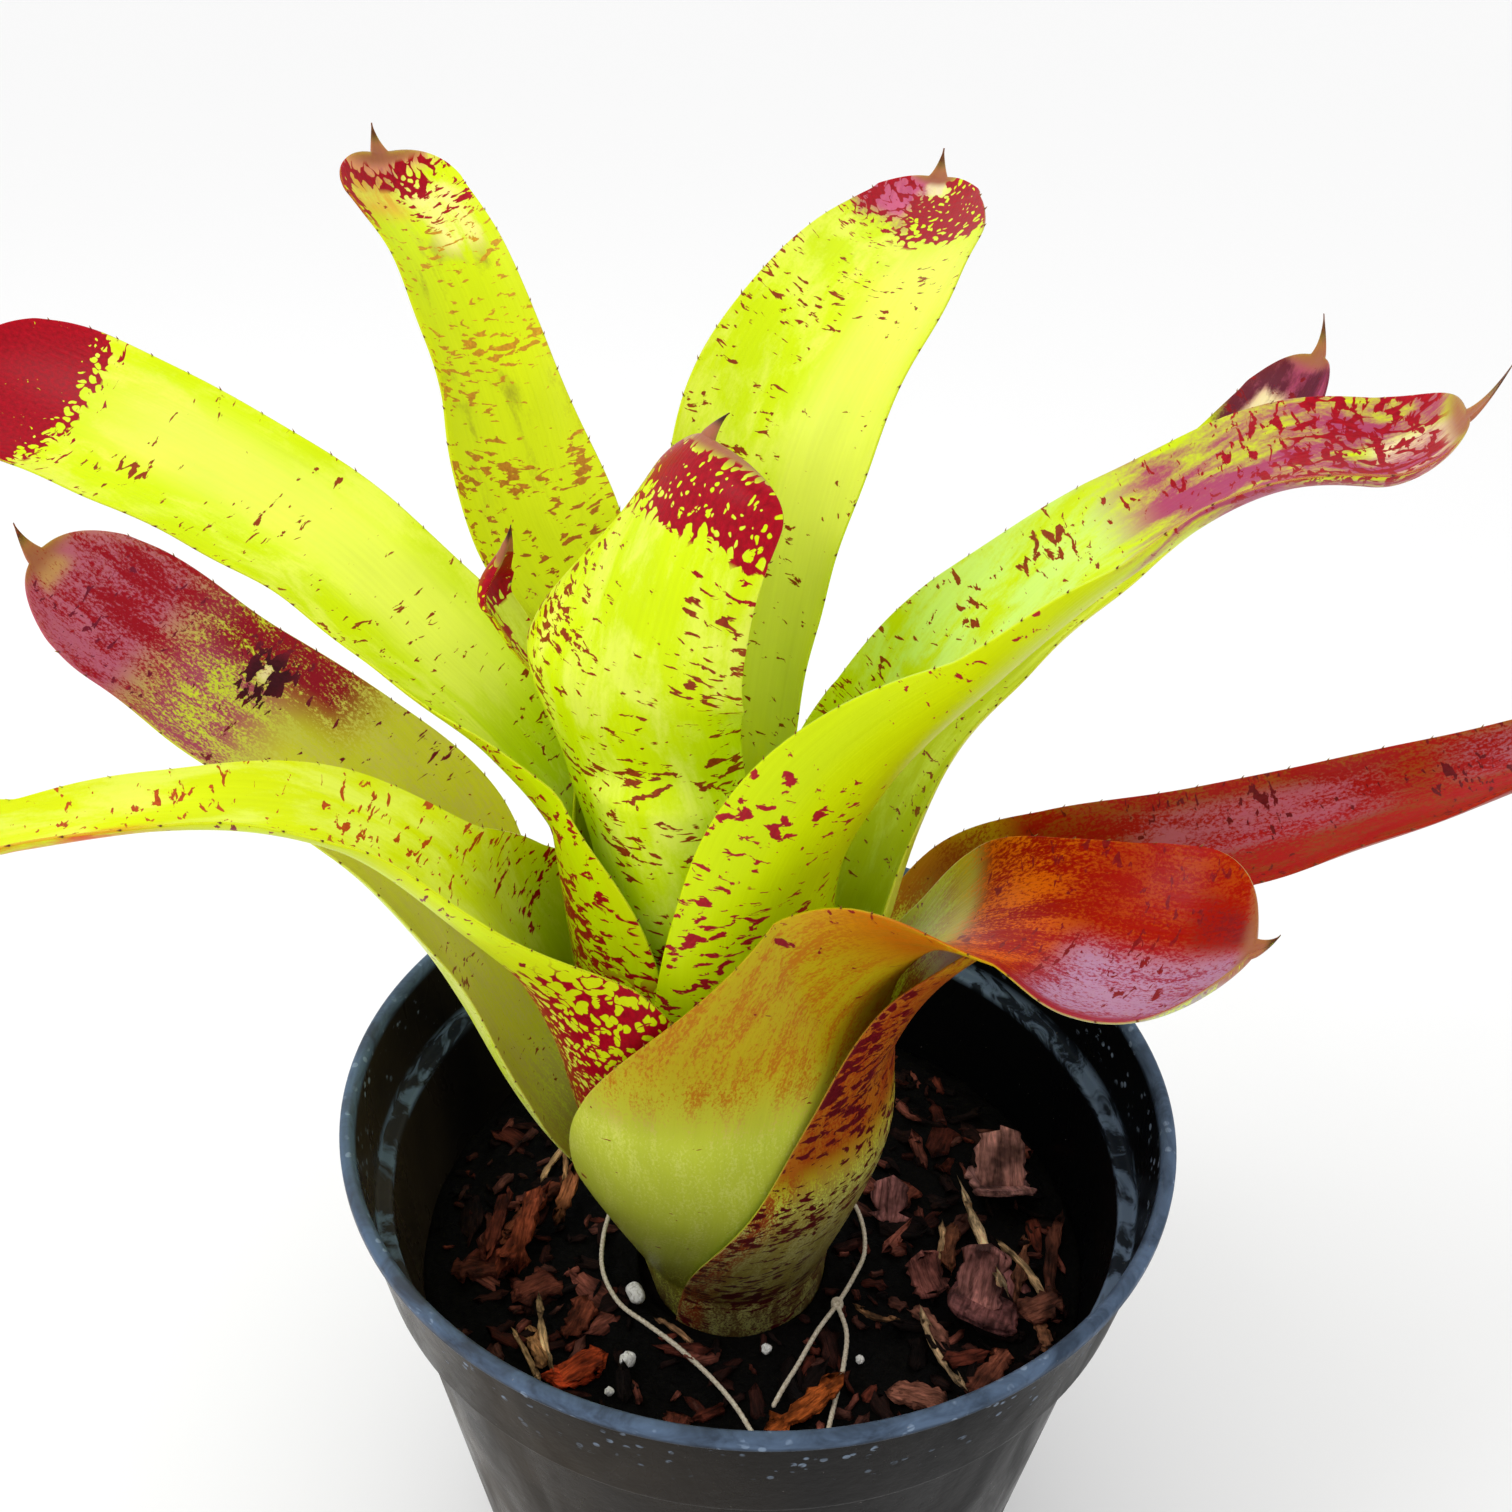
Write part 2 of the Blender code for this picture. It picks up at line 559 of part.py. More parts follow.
def chip_mesh(name, length, width, thickness, noise):
    """Make one splintered chip: a box with its corners pulled about."""
    mesh = bpy.data.meshes.new(name)
    work = bmesh.new()
    bmesh.ops.create_cube(work, size=1.0)
    for vert in work.verts:
        pull = noise.uniform(0.7, 1.1, 3)
        vert.co = Vector((vert.co.x * length * pull[0], vert.co.y * width * pull[1],
                          vert.co.z * thickness * pull[2])) * MM
    bmesh.ops.triangulate(work, faces=work.faces)
    work.to_mesh(mesh)
    work.free()
    return mesh


def chip_list(noise):
    """Return the chips that stand out and a seeded fill that keeps off the tie and the foot."""
    tie = np.vstack([tie_path(TIE_ROUND, 80), tie_path(TIE_SECOND, 30)])[:, :2]
    chips = list(CHIPS)
    while len(chips) < len(CHIPS) + FILL_CHIPS:
        x, y = noise.uniform(-60, 60, 2)
        length, width = noise.uniform(6, 13), noise.uniform(2, 5)
        reach = length / 2
        if np.hypot(x, y) + reach > WALL_CLEARANCE:
            continue
        if np.hypot(x - AXIS_X, y - AXIS_Y) - reach < FOOT_CLEARANCE:
            continue
        if np.min(np.hypot(tie[:, 0] - x, tie[:, 1] - y)) - reach < TIE_CLEARANCE:
            continue
        if min(np.hypot(c[0] - x, c[1] - y) for c in chips) < 6:
            continue
        chips.append((x, y, length, width, noise.uniform(1.4, 2.2), noise.uniform(0, 180),
                      noise.uniform(4, 18)))
    return chips


def make_mulch(slot, group, low):
    """Loft the layer of bark over the mix, round the plant's foot, and sink its chips in it."""
    sides = 36
    rings = 7
    turn = np.linspace(0, 2 * pi, sides, endpoint=False)
    points = []

    def ring(share, height):
        """Points of one ring from the foot's edge (0) to the pot's wall (1)."""
        wall = inside_radius(low if height is not None else SOIL_Z) - GAP
        x = (1 - share) * (AXIS_X + SEAT_RADIUS * np.cos(turn)) + share * wall * np.cos(turn)
        y = (1 - share) * (AXIS_Y + SEAT_RADIUS * np.sin(turn)) + share * wall * np.sin(turn)
        z = ground(x, y) if height is None else np.full(sides, height)
        points.extend(np.stack([x, y, z], axis=1))

    for i in range(rings):
        ring(i / (rings - 1), None)
    ring(1.0, low)
    ring(0.0, low)
    count = rings + 2
    faces = []
    for i in range(count):
        j = (i + 1) % count
        for k in range(sides):
            m = (k + 1) % sides
            a, b, c, d = i * sides + k, i * sides + m, j * sides + m, j * sides + k
            faces += [(a, b, c), (a, c, d)]
    mulch = add_object("bark_mulch", mesh_from("bark_mulch", points, faces), slot, group)
    outward(mulch)
    noise = np.random.default_rng(11)
    chips = collection("bark_chips")
    for i, (x, y, length, width, thickness, heading, tilt) in enumerate(chip_list(noise)):
        chip = bpy.data.objects.new(f"cutter_chip_{i}",
                                    chip_mesh(f"chip_{i}", length, width, thickness, noise))
        chips.objects.link(chip)
        chip.location = Vector((x, y, ground(x, y) + CHIP_LIFT * thickness)) * MM
        chip.rotation_euler = (radians(noise.uniform(-8, 8)), radians(-tilt), radians(heading))
        chip.hide_render = True
        chip.display_type = "WIRE"
    boolean(mulch, "UNION", chips, "MANIFOLD")
    return mulch


# Perlite grains on the bark: x, y and radius
GRAINS = [(-21.5, -33.5, 1.6), (3.2, -29.6, 1.1), (-24, -40, 0.9), (20, -31, 0.9)]


def make_perlite(slot, group):
    """Lay a few white perlite grains on the bark's bed."""
    for i, (x, y, radius) in enumerate(GRAINS, 1):
        name = f"perlite_{i}"
        mesh = bpy.data.meshes.new(name)
        noise = np.random.default_rng(20 + i)
        work = bmesh.new()
        bmesh.ops.create_icosphere(work, subdivisions=1, radius=radius * MM)
        for vert in work.verts:
            vert.co *= noise.uniform(0.85, 1.0)
        work.to_mesh(mesh)
        work.free()
        grain = add_object(name, mesh, slot, group)
        grain.location = Vector((x, y, ground(x, y) + radius + 0.25)) * MM


def main():
    """Clear the scene and build the pot, its filling and the plant."""
    for item in list(bpy.data.objects):
        bpy.data.objects.remove(item)
    group = collection("potted_bromeliad")
    cutters = collection("cutters")
    plastic = material("black_plastic", (0.012, 0.014, 0.018), 0.3)
    soil = material("potting_mix", (0.02, 0.013, 0.009), 0.95)
    bark = material("bark", (0.09, 0.04, 0.022), 0.85)
    white = material("perlite", (0.8, 0.8, 0.78), 0.9)
    cream = material("tie_string", (0.62, 0.55, 0.4), 0.8)
    pale = material("stem", (0.35, 0.4, 0.12), 0.6)
    fresh = material("leaf_fresh", (0.5, 0.68, 0.03), 0.35)
    ageing = material("leaf_ageing", (0.36, 0.08, 0.03), 0.4)
    make_pot(plastic, group)
    mix, mix_top = make_mix(soil, group, cutters)
    make_mulch(bark, group, mix_top + GAP)
    make_perlite(white, group)
    make_tie(cream, group)
    cylinder("stem", STEM_RADIUS, mix_top - SEAT_DEPTH + GAP, SOIL_Z + 14, AXIS_X, AXIS_Y, 16,
             group, slot=pale)
    for name, leaf in LEAVES.items():
        mesh = leaf_mesh(name, *leaf)
        slot = ageing if name in ("leaf_01_lowest_right", "leaf_02_front_right") else fresh
        outward(add_object(name, mesh, slot, group))


main()
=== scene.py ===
"""Looks of the potted bromeliad: fine leaves, bark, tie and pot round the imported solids.

The frame is the solids' own: metres, +Z up, the origin in the middle of the pot's underside. Shapes
are worked out in millimetres and scaled by MM as they go into their meshes.
"""
import json

import bpy
import numpy as np
from mathutils import Matrix, Vector

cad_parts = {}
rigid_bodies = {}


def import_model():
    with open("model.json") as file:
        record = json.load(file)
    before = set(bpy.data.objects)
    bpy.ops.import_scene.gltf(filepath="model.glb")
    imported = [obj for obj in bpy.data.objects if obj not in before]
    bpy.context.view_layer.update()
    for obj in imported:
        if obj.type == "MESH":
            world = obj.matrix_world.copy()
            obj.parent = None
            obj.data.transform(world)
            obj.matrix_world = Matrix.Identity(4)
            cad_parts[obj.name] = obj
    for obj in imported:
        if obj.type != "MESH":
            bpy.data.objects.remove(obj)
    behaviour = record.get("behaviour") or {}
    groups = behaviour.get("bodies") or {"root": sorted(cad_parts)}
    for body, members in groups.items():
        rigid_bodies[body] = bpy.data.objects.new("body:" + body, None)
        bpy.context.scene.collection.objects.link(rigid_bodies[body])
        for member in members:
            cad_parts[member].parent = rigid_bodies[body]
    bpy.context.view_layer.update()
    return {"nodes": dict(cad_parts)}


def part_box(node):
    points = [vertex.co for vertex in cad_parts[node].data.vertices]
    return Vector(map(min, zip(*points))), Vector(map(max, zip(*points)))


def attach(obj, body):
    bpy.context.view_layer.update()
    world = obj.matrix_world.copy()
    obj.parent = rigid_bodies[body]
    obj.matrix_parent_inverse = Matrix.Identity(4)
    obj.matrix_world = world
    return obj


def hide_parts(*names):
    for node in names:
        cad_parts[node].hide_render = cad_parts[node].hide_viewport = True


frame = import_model()

# Studio: a normal lens looks 30 degrees down on the plant. The floor is a pale sweep under an even
# white sky, and one wide soft lamp at the upper left gives the leaves their sheen.
MM = 0.001
EYE = (0.0, -201.87, 315.60)
EYE_RIGHT = (0.99920, 0.02874, 0.02775)
EYE_UP = (-0.03848, 0.50575, 0.86182)
EYE_BACK = (0.01074, -0.86220, 0.50645)
SENSOR = 36.0
LENS = 34.667
FLOOR_RADIUS = 12000.0
FLOOR_SIDES = 64
FLOOR_GREY = 0.90
FLOOR_ROUGHNESS = 0.9
SKY = (1.0, 1.0, 1.0)
SKY_STRENGTH = 1.05
LAMP_PLACE = (-600, -250, 950)
LAMP_AIM = (0, 0, 150)
LAMP_WIDTH = 450
LAMP_POWER = 3.0

camera = bpy.data.objects.new("camera", bpy.data.cameras.new("camera"))
bpy.context.scene.collection.objects.link(camera)
camera.data.sensor_width = SENSOR
camera.data.lens = LENS
camera.data.clip_end = 2 * FLOOR_RADIUS * MM
camera.matrix_world = Matrix([(*row, place * MM) for row, place in
                              zip(zip(EYE_RIGHT, EYE_UP, EYE_BACK), EYE)] + [(0, 0, 0, 1)])
bpy.context.scene.camera = camera
bpy.context.scene.view_settings.view_transform = "Standard"


def turns(count):
    """Angles of equal steps once round a circle."""
    return np.linspace(0, 2 * np.pi, count, endpoint=False)


def finish(name):
    """Return a new material with its node tree and its Principled shader."""
    made = bpy.data.materials.new(name)
    made.use_nodes = True
    return made, made.node_tree, made.node_tree.nodes["Principled BSDF"]


floor_finish, _, floor_shader = finish("floor")
floor_shader.inputs["Base Color"].default_value = (FLOOR_GREY, FLOOR_GREY, FLOOR_GREY, 1)
floor_shader.inputs["Roughness"].default_value = FLOOR_ROUGHNESS
turn = turns(FLOOR_SIDES)
rim = FLOOR_RADIUS * MM * np.stack([np.cos(turn), np.sin(turn), 0 * turn], -1)
floor_mesh = bpy.data.meshes.new("floor")
floor_mesh.from_pydata(rim.tolist(), [], [list(range(FLOOR_SIDES))])
floor_mesh.materials.append(floor_finish)
floor = bpy.data.objects.new("floor", floor_mesh)
bpy.context.scene.collection.objects.link(floor)

sky = bpy.data.worlds.new("sky")
sky.use_nodes = True
sky.node_tree.nodes["Background"].inputs["Color"].default_value = (*SKY, 1)
sky.node_tree.nodes["Background"].inputs["Strength"].default_value = SKY_STRENGTH
bpy.context.scene.world = sky

lamp = bpy.data.lights.new("key", "AREA")
lamp.size = LAMP_WIDTH * MM
lamp.energy = LAMP_POWER
holder = bpy.data.objects.new("key", lamp)
bpy.context.scene.collection.objects.link(holder)
holder.location = Vector(LAMP_PLACE) * MM
aim = Vector(LAMP_AIM) * MM - holder.location
holder.rotation_euler = aim.to_track_quat("-Z", "Y").to_euler()


# Pot: a round black nursery pot moulded in one piece, with a rolled lip, a deep outside band and a
# ledge inside that keeps stacked pots apart. The plastic is glossy where wet and dusty elsewhere.
# Painted into its colour are a sheen on the side towards the lamp, a highlight along the lip,
# reflections on the wet ledge and glints on the water beads.
POT_HEIGHT = 130.0
LIP_RADIUS = 75.0
LIP_WIDTH = 2.5
BAND_FOOT_RADIUS = 70.0
BAND_FOOT_Z = 106.4
LEDGE_Z = 112.0
LEDGE_RADIUS = 70.5
THROAT_RADIUS = 67.7
BODY_TOP_RADIUS = 68.2
BASE_RADIUS = 52.0
WALL = 1.3
FLOOR_THICKNESS = 2.0
DRAIN_RADIUS = 5.0
DRAIN_CIRCLE = 38.0
DRAIN_COUNT = 6
DRAIN_SIDES = 32
POT_SIDES = 192
CORNER_REACH = 0.8
CORNER_STEPS = 6


def rounded(corners, reach, steps):
    """Round a profile's corners: between points reach away on both sides runs the parabola
    (1 - u)^2 a + 2 u (1 - u) corner + u^2 b, with the reach cut to a third of short sides."""
    corners = np.array(corners, float)
    u = np.linspace(0, 1, steps)[:, None]
    rows = [corners[:1]]
    for before, corner, after in zip(corners, corners[1:], corners[2:]):
        ends = []
        for other in (before, after):
            side = np.linalg.norm(other - corner)
            ends.append(corner + (other - corner) * min(reach, side / 3) / side)
        rows.append((1 - u) ** 2 * ends[0] + 2 * u * (1 - u) * corner + u ** 2 * ends[1])
    return np.vstack(rows + [corners[-1:]])


def tube_faces(rows, loop, first=0):
    """Quads between the rings of a tube whose rings run anticlockwise seen from its far end."""
    row, column = np.meshgrid(np.arange(rows - 1), np.arange(loop), indexing="ij")
    after = (column + 1) % loop
    quads = np.stack([row * loop + column, row * loop + after,
                      (row + 1) * loop + after, (row + 1) * loop + column], -1)
    return (quads.reshape(-1, 4) + first).tolist()


def closed_tubes(rows, loop, first=0, count=1):
    """Faces of tubes whose points follow one another: each one's quads, and its two end faces."""
    faces = []
    for start in range(first, first + count * rows * loop, rows * loop):
        last = start + (rows - 1) * loop
        faces += tube_faces(rows, loop, start)
        faces += [list(range(start, start + loop))[::-1], list(range(last, last + loop))]
    return faces


def put_mesh(name, points, faces, *finishes):
    """Make a smooth object at the origin from points in millimetres."""
    mesh = bpy.data.meshes.new(name)
    mesh.from_pydata((np.asarray(points, float).reshape(-1, 3) * MM).tolist(), [], faces)
    for made in finishes:
        mesh.materials.append(made)
    mesh.shade_smooth()
    part = bpy.data.objects.new(name, mesh)
    bpy.context.scene.collection.objects.link(part)
    return part


def place_piece(part, slot, *nodes):
    """Let a piece ride on the body, and hide the nodes that it stands for. Its slot is not used."""
    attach(part, "root")
    if nodes:
        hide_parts(*nodes)


def inside_radius(z):
    """Inside radius of the pot's tapered wall at a height."""
    return BASE_RADIUS + (BODY_TOP_RADIUS - BASE_RADIUS) * z / BAND_FOOT_Z - WALL * 1.04


def colour(red, green, blue):
    """Scene-linear colour of a display colour given in 0 to 255."""
    return tuple(((c / 255 + 0.055) / 1.055) ** 2.4 if c > 10 else c / 3294.6
                 for c in (red, green, blue))


def dress(tree, node, sockets):
    """Fill a node's sockets: an output is linked, and a value is set, with alpha 1 for a colour."""
    for key, value in sockets.items():
        socket = node.inputs[key]
        if isinstance(value, bpy.types.NodeSocket):
            tree.links.new(value, socket)
        elif socket.type == "RGBA":
            socket.default_value = (*value, 1.0)
        else:
            socket.default_value = value


def add(tree, kind, sockets=(), **settings):
    """Add a shader node, with its settings and what goes into its sockets."""
    made = tree.nodes.new("ShaderNode" + kind)
    for key, value in settings.items():
        setattr(made, key, value)
    dress(tree, made, dict(sockets))
    return made


def object_place(tree):
    """Object coordinates in metres."""
    return add(tree, "TexCoord").outputs["Object"]


def noise(tree, vector, rate, detail=2.0, roughness=0.5, distortion=0.0):
    """Noise read at a vector stretched by a rate for each axis; runs round 0.5."""
    stretched = add(tree, "Mapping", {"Vector": vector, "Scale": rate})
    return add(tree, "TexNoise", {"Vector": stretched.outputs[0], "Scale": 1.0, "Detail": detail,
                                  "Roughness": roughness, "Distortion": distortion}).outputs[0]


def rerange(tree, value, low, high, to_low=0.0, to_high=1.0, kind="LINEAR"):
    """Map a value's range on to another, held at its ends."""
    return add(tree, "MapRange", {"Value": value, "From Min": low, "From Max": high,
                                  "To Min": to_low, "To Max": to_high},
               interpolation_type=kind).outputs[0]


def plus(tree, first, second):
    """Sum of two values."""
    return add(tree, "Math", {0: first, 1: second}, operation="ADD").outputs[0]


def times(tree, first, second):
    """Product of two values."""
    return add(tree, "Math", {0: first, 1: second}, operation="MULTIPLY").outputs[0]


def mix(tree, share, first, second):
    """Mix two colours, by a share that is a value or a socket."""
    return add(tree, "Mix", {0: share, 6: first, 7: second}, data_type="RGBA").outputs[2]


def bump(tree, height, depth, strength=1.0):
    """Normal bumped by a pattern of heights, of a depth in metres."""
    return add(tree, "Bump", {"Height": height, "Distance": depth, "Strength": strength}).outputs[0]


PLASTIC = colour(6, 7, 9)
# Brown of the dust film, which also paints the sheen on the side towards the lamp.
DUST_AND_SHEEN = colour(104, 88, 66)
# Blue-grey of the painted reflections on the wet ledge inside the pot.
LEDGE_REFLECTION = colour(96, 114, 136)
# Blue-grey of the painted highlight along the top of the lip.
LIP_HIGHLIGHT = colour(84, 102, 126)
# Light blue-grey of the glints painted on the water beads.
BEAD_GLINT = colour(138, 156, 178)
SPECK = colour(150, 146, 138)

lip_inside = LIP_RADIUS - LIP_WIDTH
pot_profile = rounded([
    (0, 0), (BASE_RADIUS - 1.0, 0), (BASE_RADIUS + 0.2, 1.2), (BODY_TOP_RADIUS, BAND_FOOT_Z),
    (BAND_FOOT_RADIUS, BAND_FOOT_Z), (BAND_FOOT_RADIUS + 0.7, BAND_FOOT_Z + 0.6),
    (LIP_RADIUS - 1.1, POT_HEIGHT - 3.2), (LIP_RADIUS, POT_HEIGHT - 2.4),
    (LIP_RADIUS, POT_HEIGHT - 0.6), (LIP_RADIUS - 0.7, POT_HEIGHT),
    (lip_inside + 0.8, POT_HEIGHT), (lip_inside, POT_HEIGHT - 1.0),
    (LEDGE_RADIUS, LEDGE_Z), (THROAT_RADIUS, LEDGE_Z),
    (inside_radius(LEDGE_Z - 8), LEDGE_Z - 8), (inside_radius(FLOOR_THICKNESS), FLOOR_THICKNESS),
    (0, FLOOR_THICKNESS)], CORNER_REACH, CORNER_STEPS)
turn = turns(POT_SIDES)
ring_r, ring_z = pot_profile[1:-1, 0, None], pot_profile[1:-1, 1, None]
rings = np.stack([ring_r * np.cos(turn), ring_r * np.sin(turn), ring_z + 0 * turn], -1)
centre = len(rings) * POT_SIDES
last = centre - POT_SIDES
pot_faces = tube_faces(len(rings), POT_SIDES)
for k in range(POT_SIDES):
    after = (k + 1) % POT_SIDES
    pot_faces += [[centre, after, k], [centre + 1, last + k, last + after]]
pot_points = np.vstack([rings.reshape(-1, 3), [(0, 0, 0), (0, 0, FLOOR_THICKNESS)]])

plastic, tree, shader = finish("black_plastic")
place = object_place(tree)
apart = add(tree, "SeparateXYZ", {"Vector": place}).outputs
across, depth, height = apart["X"], apart["Y"], apart["Z"]
flat = add(tree, "VectorMath", {0: place, 1: (1, 1, 0)}, operation="MULTIPLY").outputs[0]
reach = add(tree, "VectorMath", {0: flat}, operation="LENGTH").outputs["Value"]
wet = noise(tree, place, (60, 60, 25), 4, 0.6, 0.6)
dust = noise(tree, place, (900, 900, 900), 3, 0.7)
film = noise(tree, place, (22, 22, 14), 3, 0.6, 0.4)
patches = noise(tree, place, (95, 95, 240), 4, 0.65, 0.8)
grain = noise(tree, place, (420, 420, 420), 3, 0.6)
drops = add(tree, "TexVoronoi", {"Vector": place, "Scale": 430.0}).outputs["Distance"]
on_lip = rerange(tree, height, (POT_HEIGHT - 2.6) * MM, (POT_HEIGHT - 1.4) * MM)
over_ledge = rerange(tree, height, (LEDGE_Z - 1.6) * MM, (LEDGE_Z - 0.4) * MM)
under_wall = rerange(tree, height, (LEDGE_Z + 0.8) * MM, (LEDGE_Z + 2.6) * MM, 1, 0)
inside = rerange(tree, reach, (LEDGE_RADIUS + 0.2) * MM, (LEDGE_RADIUS + 0.7) * MM, 1, 0)
on_ledge = times(tree, times(tree, over_ledge, under_wall), inside)
over_body = rerange(tree, height, (LEDGE_Z + 2) * MM, (LEDGE_Z + 9) * MM)
beads = times(tree, times(tree, rerange(tree, drops, 0.22, 0.30, 1, 0), over_body),
              rerange(tree, patches, 0.50, 0.60))
# Painted sheen: the dust film is laid on most thickly on the left front, towards the lamp.
lamp_side_share = times(tree, rerange(tree, across, -0.065, 0.01, 0.5, 0.03),
                   rerange(tree, depth, -0.03, 0.02, 1, 0.25))
skin = mix(tree, times(tree, rerange(tree, film, 0.28, 0.74), lamp_side_share), PLASTIC, DUST_AND_SHEEN)
# Painted reflection: blue-grey patches on the wet ledge inside the pot.
reflection_patches = rerange(tree, rerange(tree, patches, 0.46, 0.56), 0, 1, 0.08, 0.9)
skin = mix(tree, times(tree, on_ledge, reflection_patches), skin, LEDGE_REFLECTION)
# Painted highlight: a patchy blue-grey along the top of the lip.
lip_highlight_patches = rerange(tree, patches, 0.35, 0.6, 0.35, 0.95)
skin = mix(tree, times(tree, on_lip, lip_highlight_patches), skin, LIP_HIGHLIGHT)
# Painted glints: the water beads above the ledge and on the lip are light blue-grey dots.
skin = mix(tree, times(tree, beads, 0.55), skin, BEAD_GLINT)
skin = mix(tree, rerange(tree, dust, 0.70, 0.74, 0, 0.30), skin, SPECK)
dress(tree, shader, {
    "Base Color": skin, "Roughness": rerange(tree, wet, 0.35, 0.65, 0.18, 0.40),
    "Specular IOR Level": 0.02,
    "Normal": bump(tree, plus(tree, grain, times(tree, beads, 1.5)), 0.0002, 0.3)})

pot = put_mesh("pot_fine", pot_points, pot_faces, plastic)
ring = turns(DRAIN_SIDES)
for k in range(DRAIN_COUNT):
    a = 2 * np.pi * (k + 0.5) / DRAIN_COUNT
    drill = np.stack([np.stack([DRAIN_CIRCLE * np.cos(a) + DRAIN_RADIUS * np.cos(ring),
                                DRAIN_CIRCLE * np.sin(a) + DRAIN_RADIUS * np.sin(ring),
                                0 * ring + z], -1) for z in (-2.0, FLOOR_THICKNESS + 0.2)])
    hole = pot.modifiers.new("drain_hole", "BOOLEAN")
    hole.operation = "DIFFERENCE"
    hole.object = put_mesh(f"drill_{k}", drill, closed_tubes(2, DRAIN_SIDES), plastic)
bpy.context.view_layer.update()
drilled = bpy.data.meshes.new_from_object(
    pot.evaluated_get(bpy.context.evaluated_depsgraph_get()))
pot.modifiers.clear()
pot.data = drilled
pot.data.name = "pot_fine"
for cutter in [item for item in bpy.data.objects if item.name.startswith("drill_")]:
    bpy.data.objects.remove(cutter)
place_piece(pot, "black_plastic", "pot")


# Growing mix and stem: dark crumbly peat fills the pot under the bark, and the short pale stem
# stands in it inside the leaves. Both stay as the solids are, with their own finishes.
peat, tree, shader = finish("potting_mix")
crumbs = noise(tree, object_place(tree), (260, 260, 260), 5, 0.7)
dress(tree, shader, {
    "Base Color": mix(tree, rerange(tree, crumbs, 0.4, 0.75), colour(5, 4, 4), colour(26, 18, 13)),
    "Roughness": 0.95, "Specular IOR Level": 0.05, "Normal": bump(tree, crumbs, 0.002)})

pith, tree, shader = finish("stem")
fibres = noise(tree, object_place(tree), (900, 900, 60), 3, 0.6)
dress(tree, shader, {"Base Color": mix(tree, fibres, colour(140, 148, 70), colour(190, 190, 110)),
                     "Roughness": 0.6})
for node, made in (("potting_mix", peat), ("stem", pith)):
    frame["nodes"][node].data.materials.clear()
    frame["nodes"][node].data.materials.append(made)


# Bark mulch: broken pine bark and its splinters lie on the mix, rust brown, dark where wet. The
# finer bed swells gently and carries the same chips as the solid, and many small ones.
SOIL_Z = 90.0
AXIS_X = -4.0
AXIS_Y = -7.0
GAP = 0.3
FOOT_RADIUS = 18.2
BED_LOW = 85.3
BED_ROWS = 56
BED_SIDES = 220
BED_SINK = 0.7
BED_EDGE_SINK = 1.2
BED_TINT = colour(6, 5, 4)
BED_FIBRES = (3, 0.6, 1)
CHIP_GRID = (13, 16)
SMALL_CHIP_GRID = (6, 8)
SMALL_CHIPS = 520
SMALL_CHIP_SPREAD = 64
CHIP_ROOM = 0.5
CHIP_SQUARENESS = 0.4
FRAY_WIDTH = 4.5
# x, y, length, width, thickness, heading and tilt of each chip. A straw has its colour as well.
CHIPS = [
    (44, -17, 20, 13, 2.4, 70, 14), (50, 12, 15, 12, 2.0, 100, 22), (29, 9, 9, 6, 1.8, 60, 12),
    (38, -4, 16, 3.0, 1.6, 80, 8), (33, -22, 15, 2.4, 1.6, 120, 10), (52, -8, 22, 2.2, 1.4, 75, 9),
    (-46, -2, 17, 2.6, 1.6, 70, 12), (-41, 6, 14, 3.4, 1.8, 55, 16), (-52, -14, 10, 5, 1.8, 20, 8),
    (-38, -31, 13, 2.6, 1.6, 115, 14), (-31, -37, 12, 4, 1.8, 20, 10),
    (-40, -18, 11, 6, 1.8, 40, 8), (8, -52.5, 15, 3.4, 2.0, 30, 6), (30, -38, 12, 5, 2.0, 160, 10),
    (-12, -46, 8, 4, 1.6, 80, 8), (54, -24, 9, 2.4, 1.4, 95, 8), (26, -48, 9, 3.5, 1.6, 60, 8)]
CHIP_TINTS = [
    (142, 90, 88), (156, 110, 104), (112, 58, 44), (122, 74, 52), (124, 80, 66), (132, 84, 62),
    (132, 70, 46), (118, 62, 42), (92, 46, 34), (190, 136, 90), (184, 66, 32), (98, 50, 38),
    (202, 112, 60), (130, 82, 66), (88, 44, 32), (150, 100, 72), (170, 110, 76)]
